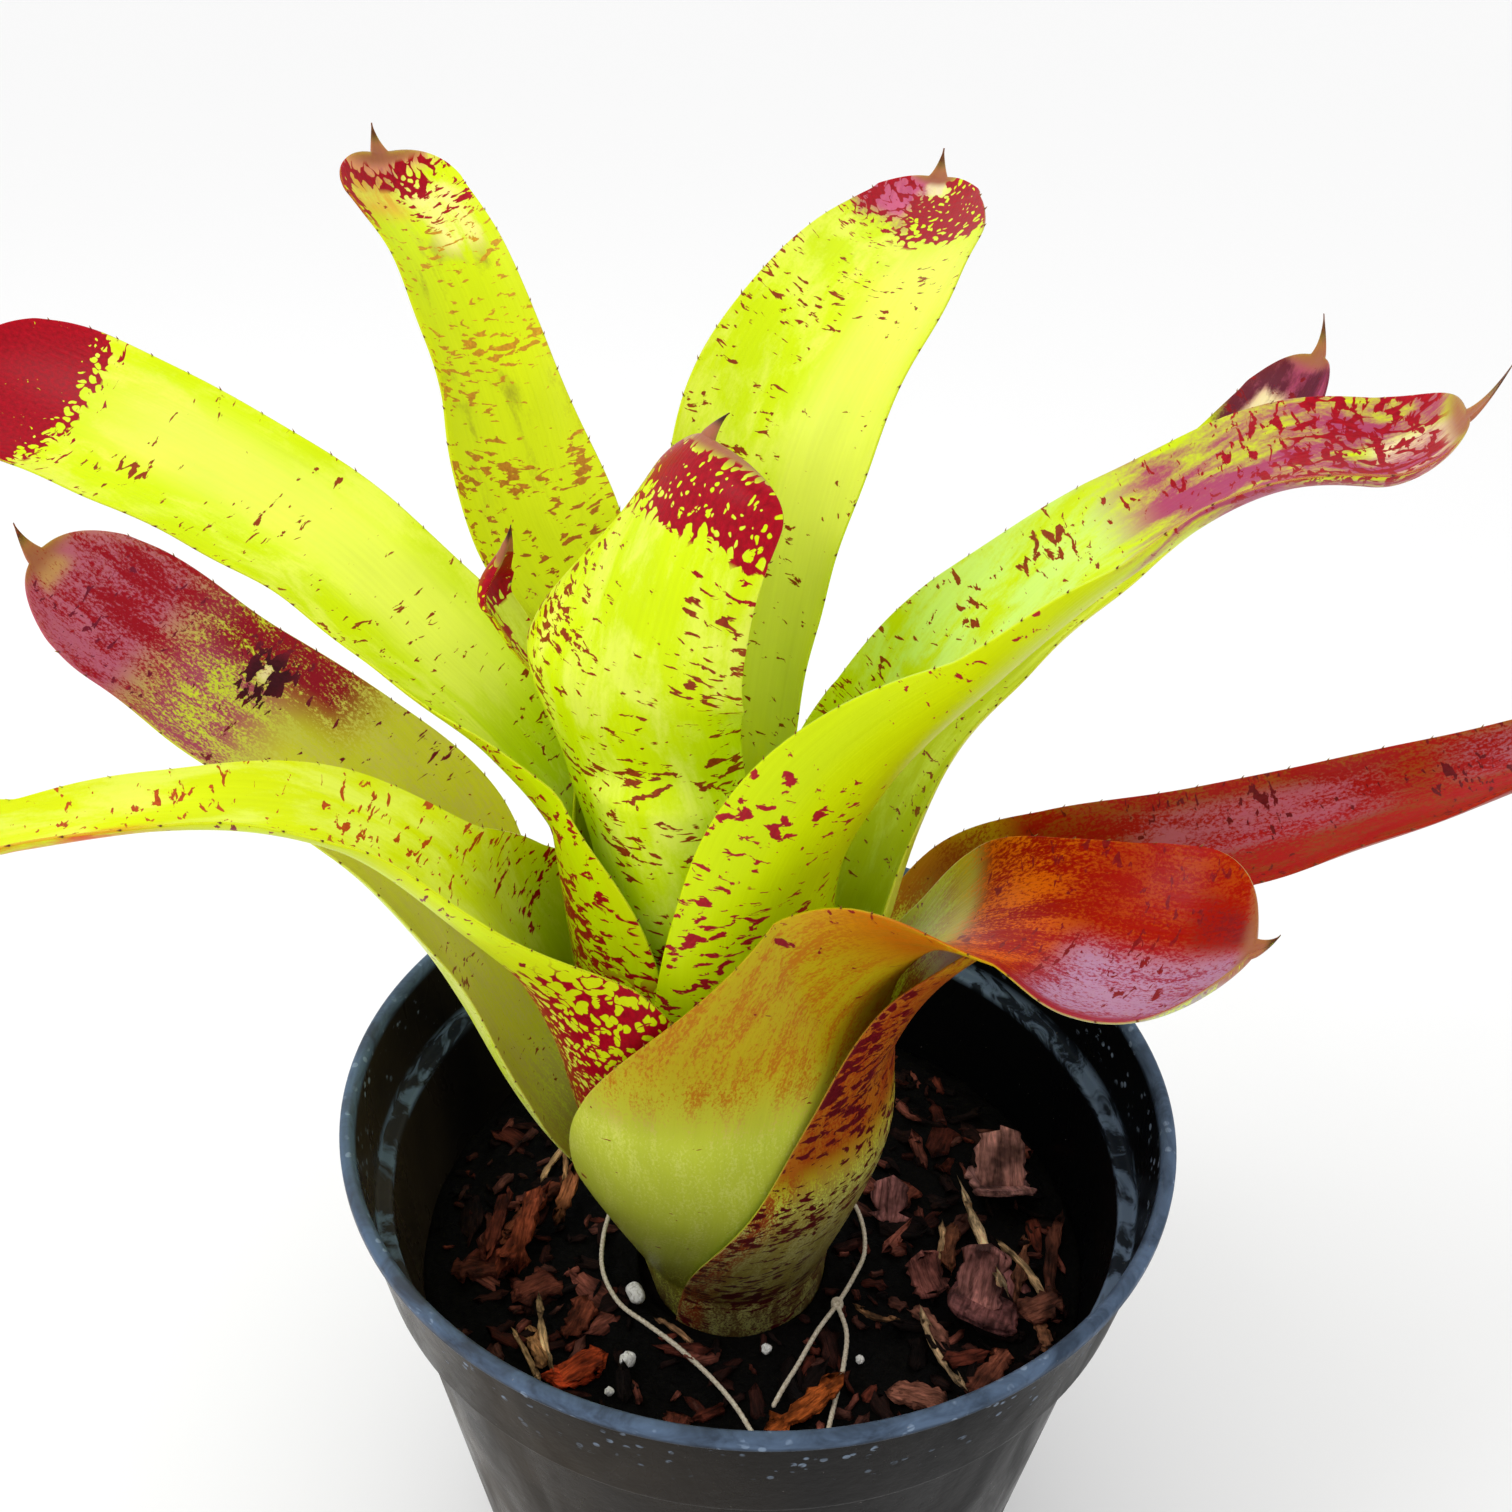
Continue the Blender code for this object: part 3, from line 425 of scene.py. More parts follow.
STRAWS = [
    (45, -8, 36, 1.7, 0.8, 99, -10.5, (226, 194, 150)),
    (36.5, -5.5, 15, 1.2, 0.6, 79, 6, (212, 170, 124)),
    (34, -29, 20, 1.2, 0.6, 114, 3, (220, 184, 140)),
    (57.5, -7.5, 30, 2.2, 1.2, 79, 3, (92, 52, 40)), (10, -42, 17, 3.6, 1.0, 38, 6, (196, 98, 42)),
    (-13.5, -26.5, 10, 1.0, 0.6, 146, 4, (150, 112, 80)),
    (23, -22, 9, 1.1, 0.6, 167, 8, (150, 108, 74)), (-45, -7, 22, 3.2, 1.4, 72, 8, (128, 60, 40)),
    (-50, -5, 17, 2.6, 1.2, 84, 10, (104, 48, 34)), (-41, 14, 16, 1.2, 0.6, 62, 9, (216, 174, 126)),
    (-39, 12, 12, 1.0, 0.6, 98, 6, (170, 126, 86)),
    (-37, -30, 17, 1.3, 0.6, 108, 5, (226, 184, 134)),
    (-39.5, -33, 13, 1.0, 0.6, 124, 7, (206, 164, 116)),
    (-30, -36, 12, 4.6, 1.2, 30, 12, (182, 72, 36)), (-31, -25, 9, 4, 1.4, 70, 10, (116, 58, 40)),
    (43, -34, 12, 4.5, 1.4, 50, 12, (112, 62, 46)), (54, -19, 9, 5, 1.3, 20, 12, (126, 76, 60)),
    (52.5, -9, 19, 1.3, 0.6, 116, -4, (214, 176, 130)),
    (0, -58, 16, 2.4, 1.2, 10, 5, (120, 64, 44)), (50, 14, 14, 10, 1.1, 92, 48, (172, 120, 110)),
    (43, -15, 13, 9, 1.1, 72, 36, (158, 104, 98)), (33, -13, 9, 7, 1.0, 118, 40, (134, 80, 72)),
    (27, 5, 10, 7, 1.0, 84, 30, (142, 92, 88)), (-44, -9, 17, 4, 1.2, 78, 36, (150, 72, 46)),
    (-37, 2, 14, 3, 1.0, 66, 42, (164, 100, 64))]
DARK_TINTS = [
    (50, 25, 20), (78, 36, 27), (30, 17, 14), (98, 46, 34), (20, 13, 12), (84, 50, 42),
    (36, 20, 17), (122, 68, 56), (24, 15, 13)]


def ground(x, y):
    """Height of the bark's bed: two gentle swells of under a millimetre."""
    return (SOIL_Z + 0.45 * np.sin(0.21 * x + 0.6) * np.cos(0.17 * y)
            + 0.3 * np.sin(0.35 * y + 0.23 * x + 1.7))


def lumps(x, y, size, seed):
    """Rough relief round 0: six sine waves of seeded directions, with shorter ones lower."""
    rng = np.random.default_rng(seed)
    total = 0
    for octave in range(6):
        heading, phase = rng.uniform(0, 2 * np.pi, 2)
        rate = 2 * np.pi / size * 1.45 ** octave
        total = total + 0.8 ** octave * np.sin(
            rate * (x * np.cos(heading) + y * np.sin(heading)) + phase
            + 1.3 * np.sin(rate * 0.7 * (y * np.cos(heading) - x * np.sin(heading))))
    return total / 3


def set_attribute(mesh, name, values):
    """Write one number or colour for each point of a mesh."""
    values = np.asarray(values, np.float32)
    if values.ndim == 1:
        mesh.attributes.new(name, "FLOAT", "POINT").data.foreach_set("value", values)
    else:
        full = np.ones((len(values), 4), np.float32)
        full[:, :3] = values
        mesh.attributes.new(name, "FLOAT_COLOR", "POINT").data.foreach_set("color", full.ravel())


def turned(first, second, angle):
    """A pair of coordinates or directions, turned by an angle from the first to the second."""
    return (first * np.cos(angle) - second * np.sin(angle),
            first * np.sin(angle) + second * np.cos(angle))


def chip_shells(table, rng, rows, loop):
    """Points of many chips: slabs with rounded-square sections that bend, taper and splinter.

    Each row of the table is x, y, z, length, width, thickness, heading, tilt and roll in degrees.
    A section is |cos a|^CHIP_SQUARENESS wide and |sin a|^CHIP_SQUARENESS thick. The ends draw in as
    a root of 1 - u^6, with a seeded jag along the fibre for each corner of the section, and chips
    wider than FRAY_WIDTH fray less. Returns the points, and the place of each along, across and
    through its chip's fibres.
    """
    count = len(table)
    x, y, z, length, width, thickness, heading, tilt, roll = (
        column[:, None, None] for column in np.asarray(table, float).T)
    u = np.linspace(-1, 1, rows)[None, :, None]
    a = turns(loop)[None, None, :]
    wide, thick = (np.sign(wave) * np.abs(wave) ** CHIP_SQUARENESS
                   for wave in (np.cos(a), np.sin(a)))
    taper = (1.0001 - u ** 6) ** 0.5
    fray = np.minimum(1, FRAY_WIDTH / width)
    rough = 1 + 0.13 * fray * rng.standard_normal((count, rows, loop))
    side = 1 + 0.26 * fray * rng.standard_normal((count, rows, 1)) * (np.abs(u) > 0.2)
    jag = 1 - fray * (1 - rng.uniform(0.45, 1.05, (count, 1, loop)))
    bend = rng.uniform(-0.08, 0.08, (count, 1, 1))
    curl = rng.uniform(-0.10, 0.14, (count, 1, 1))
    local = np.stack([
        u * length / 2 * (1 - (1 - jag) * np.abs(u) ** 3) + 0 * wide,
        wide * width / 2 * taper * np.clip(side, 0.4, 1.3) * rough + bend * length * u ** 2,
        thick * thickness / 2 * (0.35 + 0.65 * taper) * rough + curl * length * u ** 2], -1)
    fibres = local * np.minimum(1, 6 / width)[..., None] + rng.uniform(0, 400, (count, 1, 1, 3))
    across, up = turned(local[..., 1], local[..., 2], np.radians(roll))
    along, up = turned(local[..., 0], up, np.radians(tilt))
    along, across = turned(along, across, np.radians(heading))
    return np.stack([x + along, y + across, z + up], -1), fibres


def scaled(tree, vector, share):
    """A colour or vector times a value."""
    return add(tree, "VectorMath", {0: vector, "Scale": share}, operation="SCALE").outputs[0]


# The bed is a ring between the plant's foot and the pot's wall, sunk at both of its edges.
rng = np.random.default_rng(5)
share = np.linspace(0, 1, BED_ROWS)[:, None]
turn = turns(BED_SIDES)
bed_wall = inside_radius(SOIL_Z) - GAP
bed_x = (1 - share) * (AXIS_X + FOOT_RADIUS * np.cos(turn)) + share * bed_wall * np.cos(turn)
bed_y = (1 - share) * (AXIS_Y + FOOT_RADIUS * np.sin(turn)) + share * bed_wall * np.sin(turn)
edge = np.minimum(1, np.minimum(share, 1 - share) * 12)
relief = 0.55 * lumps(bed_x, bed_y, 9, 3) + 0.35 * lumps(bed_x, bed_y, 3.1, 4)
bed_z = ground(bed_x, bed_y) - BED_SINK + edge * relief - BED_EDGE_SINK * (1 - edge)
bed = np.stack([bed_x, bed_y, bed_z], -1)
low_wall = inside_radius(BED_LOW) - GAP
low_out = np.stack([low_wall * np.cos(turn), low_wall * np.sin(turn),
                    np.full(BED_SIDES, BED_LOW)], -1)
low_in = bed[0] * (1, 1, 0) + (0, 0, BED_LOW)
bed_rings = np.concatenate([low_out[None], bed[::-1], low_in[None]])
bed_points = bed_rings.reshape(-1, 3)
first = np.arange(BED_SIDES)
after = (first + 1) % BED_SIDES
last = len(bed_points) - BED_SIDES
under = np.stack([last + first, last + after, after, first], -1).tolist()

# The chips lie a little sunk in the bed, the straws rest on it, and the small chips fill the rest.
table = [(x, y, ground(x, y) + 0.22 * t, length, width, t * 0.8, heading, -tilt,
          rng.uniform(-8, 8)) for x, y, length, width, t, heading, tilt in CHIPS]
tints = [colour(*tint) for tint in CHIP_TINTS]
for x, y, length, width, t, heading, tilt, tint in STRAWS:
    stand = 0.45 * length * abs(np.sin(np.radians(tilt)))
    table.append((x, y, ground(x, y) + 0.4 * t + stand, length, width, t, heading, tilt, 0))
    tints.append(colour(*tint))
listed = len(table)
while len(table) < listed + SMALL_CHIPS:
    x, y = rng.uniform(-SMALL_CHIP_SPREAD, SMALL_CHIP_SPREAD, 2)
    length = 2.5 + 10.0 * rng.uniform() ** 2
    width = (0.20 + 0.32 * rng.uniform()) * length * rng.uniform(0.5, 1.0)
    if np.hypot(x, y) + length / 2 > bed_wall - CHIP_ROOM:
        continue
    if np.hypot(x - AXIS_X, y - AXIS_Y) - length / 2 < FOOT_RADIUS + CHIP_ROOM:
        continue
    table.append((x, y, ground(x, y) - 0.35, length, width, rng.uniform(0.6, 1.5),
                  rng.uniform(0, 360), rng.uniform(-18, 18), rng.uniform(-25, 25)))
    tints.append(colour(*DARK_TINTS[rng.integers(len(DARK_TINTS))]))
bark_faces = tube_faces(len(bed_rings), BED_SIDES) + under
bark_points = [bed_points]
bark_tint = [np.tile(BED_TINT, (len(bed_points), 1))]
bark_fibres = [bed_points * BED_FIBRES]
for rows, shades, grid in ((table[:listed], tints[:listed], CHIP_GRID),
                           (table[listed:], tints[listed:], SMALL_CHIP_GRID)):
    chips, fibres = chip_shells(rows, rng, *grid)
    bark_faces += closed_tubes(*grid, sum(map(len, bark_points)), len(rows))
    bark_points.append(chips.reshape(-1, 3))
    bark_tint.append(np.repeat(shades, grid[0] * grid[1], axis=0))
    bark_fibres.append(fibres.reshape(-1, 3))

bark, tree, shader = finish("bark")
place = object_place(tree)
tint = add(tree, "Attribute", attribute_name="tint").outputs["Color"]
fibres = add(tree, "Attribute", attribute_name="fibres").outputs["Vector"]
fibre = noise(tree, fibres, (0.22, 1.5, 1.5), 5, 0.65, 0.6)
crumb = noise(tree, place, (700, 700, 700), 4, 0.7)
patch = noise(tree, place, (150, 150, 150), 3, 0.6)
shade = times(tree, rerange(tree, fibre, 0.34, 0.66, 0.3, 1.7),
              rerange(tree, patch, 0.36, 0.64, 0.25, 1.5))
dress(tree, shader, {
    "Base Color": scaled(tree, tint, shade), "Specular IOR Level": 0.08,
    "Roughness": rerange(tree, patch, 0.35, 0.65, 0.35, 0.85),
    "Normal": bump(tree, plus(tree, fibre, times(tree, crumb, 0.4)), 0.0009, 0.9)})
mulch = put_mesh("bark_mulch_fine", np.vstack(bark_points), bark_faces, bark)
set_attribute(mulch.data, "tint", np.vstack(bark_tint))
set_attribute(mulch.data, "fibres", np.vstack(bark_fibres))
place_piece(mulch, "bark", "bark_mulch")


# Perlite: white puffed grains of volcanic glass that lie loose on the bark, matt and pitted. Four
# are single grains, and one at the foot of the sheath has two lobes.
GRAINS = [(-21.5, -33.5, 1.6), (3.2, -29.6, 1.1), (-24, -40, 0.9), (20, -31, 0.9)]
GRAIN_ROWS = 20
GRAIN_LOOP = 28
GRAIN_POLE = 0.02
PAIR_X, PAIR_Y = -21.5, -19.0
PAIR_RADIUS = 2.3
PAIR_HEADING = 2.2
SETTLE = 0.6

chalk, tree, shader = finish("perlite")
pits = noise(tree, object_place(tree), (1600, 1600, 1600), 3, 0.6)
dress(tree, shader, {
    "Base Color": mix(tree, rerange(tree, pits, 0.3, 0.5), colour(176, 172, 160),
                      colour(244, 243, 238)),
    "Roughness": 0.9, "Normal": bump(tree, pits, 0.0003)})
polar = np.linspace(GRAIN_POLE, np.pi - GRAIN_POLE, GRAIN_ROWS)[::-1, None]
around = turns(GRAIN_LOOP)


def lay_grain(name, x, y, low, reach, tall, *nodes):
    """Make a grain whose rings reach out by reach sin(polar) and up by tall cos(polar), with its
    lowest point sunk by SETTLE under what it lies on."""
    grain = np.stack([x + reach * np.sin(polar) * np.cos(around),
                      y + reach * np.sin(polar) * np.sin(around),
                      tall * np.cos(polar) + 0 * around], -1)
    grain[..., 2] += low - grain[..., 2].min() - SETTLE
    piece = put_mesh(name, grain, closed_tubes(GRAIN_ROWS, GRAIN_LOOP), chalk)
    place_piece(piece, "perlite", *nodes)


for k, (x, y, radius) in enumerate(GRAINS, 1):
    reach = radius * (0.86 + 0.10 * np.sin(3 * polar + k) * np.cos(2 * around + 2 * k)
                      + 0.05 * np.cos(5 * around + 4 * polar))
    node = f"perlite_{k}"
    lay_grain(node + "_fine", x, y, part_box(node)[0][2] / MM, reach, reach, node)
waist = PAIR_RADIUS * (0.62 + 0.38 * np.cos(around - PAIR_HEADING) ** 2
                       + 0.04 * np.sin(4 * polar + 3 * around))
lay_grain("perlite_pair", PAIR_X, PAIR_Y, ground(PAIR_X, PAIR_Y), waist, 0.8 * PAIR_RADIUS)


# Tie: a thin cream string of twisted fibre goes once round the plant's foot, with a small knot in
# front and its ends led over the bark. The plant and the bark hold it all the way.
TIE_RADIUS = 0.45
TIE_REST = 1.0
TIE_LOOP = 16
TWIST_PITCH = 2.2
# x, y and lift over the bark.
TIE_ROUND = [
    (1.5, -47, 0), (-2, -41.5, 0), (-7, -35.5, 0), (-12.5, -30.5, 0), (-18.5, -26, 0),
    (-24.5, -21, 0), (-28, -15, 0.6), (-29, -8, 0.8), (-28, 0, 0.8), (-23.5, 9, 0.8),
    (-16, 15.5, 0.8), (-6, 18, 0.8), (4, 17, 0.8), (13, 12.5, 0.8), (19, 6, 0.8),
    (21.5, -1, 0.8), (21.5, -8, 0.8), (19, -15, 1.0), (16, -20.5, 1.2), (12.5, -26, 0.6),
    (8.5, -33.5, 0), (4.5, -42, 0)]
TIE_SECOND = [(16, -20.5, 1.2), (17.6, -26, 0.6), (17, -32.5, 0), (15.5, -39, 0), (14, -46, 0)]
ROUND_ROWS = 620
SECOND_ROWS = 110
KNOT_ROWS = 90
KNOT_TURNS = 2
KNOT_REACH = 0.75
KNOT_RISE = 0.45
KNOT_RADIUS = 0.42


def unit(vectors):
    """Vectors made one long."""
    return vectors / np.linalg.norm(vectors, axis=-1, keepdims=True)


def run_of(points):
    """Distance run from a line's first point to each of its points."""
    return np.r_[0, np.cumsum(np.linalg.norm(np.diff(points, axis=0), axis=1))]


def curve_through(x, keys, values):
    """Read a smooth curve through the keys: cubic pieces whose slopes weigh the spans beside."""
    span = np.diff(keys)
    rise = np.diff(values) / span
    slope = np.empty(len(keys))
    slope[0] = rise[0]
    slope[-1] = rise[-1]
    slope[1:-1] = (rise[:-1] * span[1:] + rise[1:] * span[:-1]) / (span[1:] + span[:-1])
    i = np.clip(np.searchsorted(keys, x, side="right") - 1, 0, len(keys) - 2)
    u = (x - keys[i]) / span[i]
    start = (2 * u**3 - 3 * u**2 + 1) * values[i] + (u**3 - 2 * u**2 + u) * span[i] * slope[i]
    end = (3 * u**2 - 2 * u**3) * values[i + 1] + (u**3 - u**2) * span[i] * slope[i + 1]
    return start + end


def sweep(path, radius):
    """Rings of TIE_LOOP points round a path, each square to it and level at its sides, with a
    radius for each ring and for each point round it."""
    forward = unit(np.gradient(path, axis=0))
    side = unit(np.cross((0.0, 0.0, 1.0), forward))
    over = np.cross(forward, side)
    a = turns(TIE_LOOP)
    return (path[:, None] + side[:, None] * (radius * np.cos(a))[..., None]
            + over[:, None] * (radius * np.sin(a))[..., None])


def twine(route, count):
    """Sweep a two-strand section along a route: its radius swells and narrows twice a turn round
    as 0.84 + 0.16 |cos(a - spin)|, and the section turns once each TWIST_PITCH."""
    route = np.array(route, float)
    run = run_of(route[:, :2])
    at = np.linspace(0, run[-1], count)
    x, y, lift = (curve_through(at, run, route[:, j]) for j in range(3))
    path = np.stack([x, y, ground(x, y) + TIE_REST + lift], axis=1)
    a = turns(TIE_LOOP)
    spin = 2 * np.pi * at[:, None] / TWIST_PITCH
    end = np.clip(np.minimum(at, run[-1] - at) / TIE_RADIUS, 0.05, 1)[:, None] ** 0.5
    return sweep(path, TIE_RADIUS * end * (0.84 + 0.16 * np.abs(np.cos(a - spin)))), path


long_strand, _ = twine(TIE_ROUND, ROUND_ROWS)
short_strand, short_path = twine(TIE_SECOND, SECOND_ROWS)
a = np.linspace(0, 2 * np.pi * KNOT_TURNS, KNOT_ROWS)
knot_path = short_path[0] + np.stack([KNOT_REACH * np.cos(a), KNOT_REACH * np.sin(a),
                                      KNOT_RISE * np.sin(a / 2 + 0.6)], -1)
tie_points, tie_faces = [], []
for strand in (long_strand, short_strand, sweep(knot_path, np.full((KNOT_ROWS, 1), KNOT_RADIUS))):
    tie_faces += closed_tubes(len(strand), TIE_LOOP, sum(map(len, tie_points)))
    tie_points.append(strand.reshape(-1, 3))

jute, tree, shader = finish("tie_string")
hairs = noise(tree, object_place(tree), (2200, 2200, 2200), 4, 0.7)
dress(tree, shader, {
    "Base Color": mix(tree, rerange(tree, hairs, 0.3, 0.7), colour(176, 158, 130),
                      colour(242, 234, 214)),
    "Roughness": 0.85, "Normal": bump(tree, hairs, 0.0001)})
tie = put_mesh("tie_string_fine", np.vstack(tie_points), tie_faces, jute)
place_piece(tie, "tie_string", "tie_string")


# Leaves: eleven stiff strap leaves, each one trough from its sheath round the heart to a blade with
# a short hard spine at the tip. Both edges carry small dark teeth, and the skin is waxy.
LEAN_X = -0.095
LEAN_Y = -0.015
LEAF_THICKNESS = 0.8
LEAF_ROWS = 220
LEAF_COLUMNS = 44
EDGE_CROWDING = 0.94
WAVE_HEIGHT = 0.25
WAVE_LENGTH = 3.7
CUSP_LENGTH = 4.1
CUSP_HALF = 6.0
CUSP_REACH = 12.0
CUSP_RISE = 0.12
CUSP_BOW = 0.03
CUSP_ROWS = 24
TUBE_TOP = 110.0
TUBE_FADE = 24.0
SHEATH_STEP = 2.0
TOOTH_PITCH = 6.5
TOOTH_HEIGHT = 0.55
TOOTH_RADIUS = 0.22
TOOTH_RAKE = 0.15
TOOTH_HOOK = 0.4
TOOTH_SINK = 0.2
TOOTH_STRAY = 1.2
TOOTH_ROWS = 5
TOOTH_LOOP = 7
TOOTHLESS_END = 11
SKIN_UNIT = 10.0
FLECK_LEVEL = 0.79
FLECK_GAIN = 0.56
NET_LEVEL = 0.66
NET_GAIN = 0.52
CLOUD_LEVEL = 0.72
CLOUD_GAIN = 0.44
# Height of each ring of the sheath, radius of its innermost layer, and share of SHEATH_STEP that
# each next layer stands off.
SHEATH = [
    (-5.0, 3.5, 0.65), (8.0, 4.2, 0.72), (24.0, 7.2, 0.9), (42.0, 11.2, 1.0),
    (60.0, 12.0, 1.0), (78.0, 12.0, 1.0), (94.0, 12.0, 1.0)]
# Azimuth, layer, rings of the sheath that it follows, half angle at its root and its fall with
# height, share where its end starts to round, and curl. Then stations of the blade: reach from the
# axis, height, drift to its left, half width, half angle and roll.
LEAVES = {
    "leaf_01_lowest_right": (-10, 10, 5, 118, 1.08, 0.86, 3, [
        (37, 82, 0, 22, 48, 0), (50, 95, -1, 15, 45, 5), (68, 103, -1, 12.5, 42, 12),
        (90, 113, 1, 11, 40, 8), (112, 125, 2, 9, 40, 0), (128, 134, 2, 7.5, 40, 0)]),
    "leaf_02_front_right": (-50, 9, 5, 122, 0.68, 0.92, 3, [
        (27, 79, 1, 28, 60, 0), (37, 94, 10, 22, 52, 0), (49, 100, 16, 16, 45, 15),
        (62, 103, 18.5, 17, 42, 24), (78, 109, 23, 17, 42, 20)]),
    "leaf_03_old_left": (174, 8, 3, 57, 0.8, 0.90, 5, [
        (39, 47, 0, 21, 44, 0), (48, 66, 0, 21, 50, 0), (56, 83, -1, 21, 52, -8),
        (70, 99, -1.5, 17.5, 50, -18), (86, 114, 0, 14.5, 42, -24),
        (98, 125, 1.5, 13.8, 40, -24), (111, 133.5, 3, 13, 40, -20)]),
    "leaf_04_back_right": (32, 7, 5, 105, 0.5, 0.90, 6, [
        (24, 84, 0, 24, 58, 0), (33, 101, 1, 15, 50, 0), (50, 116, 1, 12, 45, 0),
        (72, 130, 0, 11, 42, 0), (94, 142, -1, 11, 42, -4), (114, 156, -3, 12.5, 42, -12)]),
    "leaf_05_low_left": (203, 6, 4, 108, 0.40, 0.86, 3, [
        (32, 64, 0, 34, 80, 0), (39, 83, 3.5, 25, 71, 4), (47, 96, 4.5, 16.5, 59, -6),
        (62, 110, -1, 11.5, 46, -4), (85, 117, -1.5, 8.5, 40, 3), (112, 115, -1, 8.5, 40, 3)]),
    "leaf_06_right": (-20, 5, 6, 110, 0.32, 0.95, 8, [
        (16, 95, -3, 30, 76, 0), (23, 113, -3, 29, 72, -2), (36, 132, 5, 24, 56, 9),
        (51, 149, 12.5, 17, 46, 12), (70, 163.5, 15.5, 13.4, 41, 8), (89, 164.5, 17.5, 15, 38, 2)]),
    "leaf_07_left": (175, 4, 6, 112, 0.30, 0.9, 3, [
        (30, 96, -2, 26, 74, 0), (39, 109, -5, 19, 58, -8), (53, 120, -10, 15, 48, -22),
        (71, 133, -16, 14, 42, -32), (97, 144, -22, 14.5, 40, -35), (136, 154, -31, 16, 40, -35)]),
    "leaf_08_back": (68, 2, 7, 120, 0.56, 0.86, 4, [
        (14, 130, 6, 15, 51, 0), (20, 157, 2.5, 17.5, 48, 0), (38, 173, -1.5, 16, 40, 0),
        (59, 179, -2, 13.5, 40, 0), (76, 181.5, -0.3, 11, 40, 0)]),
    "leaf_09_back_left": (134, 3, 7, 117, 0.72, 0.96, 3, [
        (32.5, 115, 2, 11, 42, 0), (47, 135, 5, 14.5, 46, -8),
        (62, 153, 1.5, 11.5, 42, -8), (79, 172, -0.5, 11, 40, -4), (98, 184, 0, 12.5, 38, 4)]),
    "leaf_10_front": (-115, 1, 7, 120, 0.40, 0.96, 1.5, [
        (17, 109, -11.2, 18.5, 54, 0), (22, 130, -12.6, 21.5, 50, -6),
        (19, 145, -9.5, 20, 48, -22), (9, 164.5, -4, 19.5, 50, -38)]),
    "leaf_11_heart": (170, 0, 7, 130, 0.70, 0.86, -1.5, [
        (27, 113, -2.5, 5.2, 44, 0), (38, 126, -2.8, 4.6, 40, 0), (41, 134, -2, 5.4, 44, 0),
        (36.5, 140, -1, 5, 46, 0)])}

CHARTREUSE = colour(204, 228, 2)
# A slightly darker lime: painted shade on the outer faces, the leaves at the back and the heart.
SHADE_LIME = colour(202, 216, 6)
# Painted highlight: the pale streaks and patches of gloss on the leaves.
PALE_HIGHLIGHT = colour(224, 238, 84)
# Pale green of a leaf's back, made lighter still as painted light against the shade it lies in.
LIT_BACK_GREEN = colour(240, 246, 104)
CRIMSON = colour(154, 0, 24)
RED_BROWN = colour(140, 52, 18)
DARK_RED = colour(128, 14, 26)
MAUVE = colour(168, 66, 104)
PURPLE = colour(92, 22, 46)
GREY_MAUVE = colour(158, 138, 152)
ORANGE = colour(214, 92, 14)
OLIVE = colour(158, 152, 28)
OCHRE = colour(190, 138, 30)
CREAM = colour(232, 214, 170)
TAN = colour(186, 140, 92)
HORN = colour(52, 26, 22)
HORN_FOOT = colour(158, 96, 72)
TOOTH_BROWN = colour(112, 56, 34)

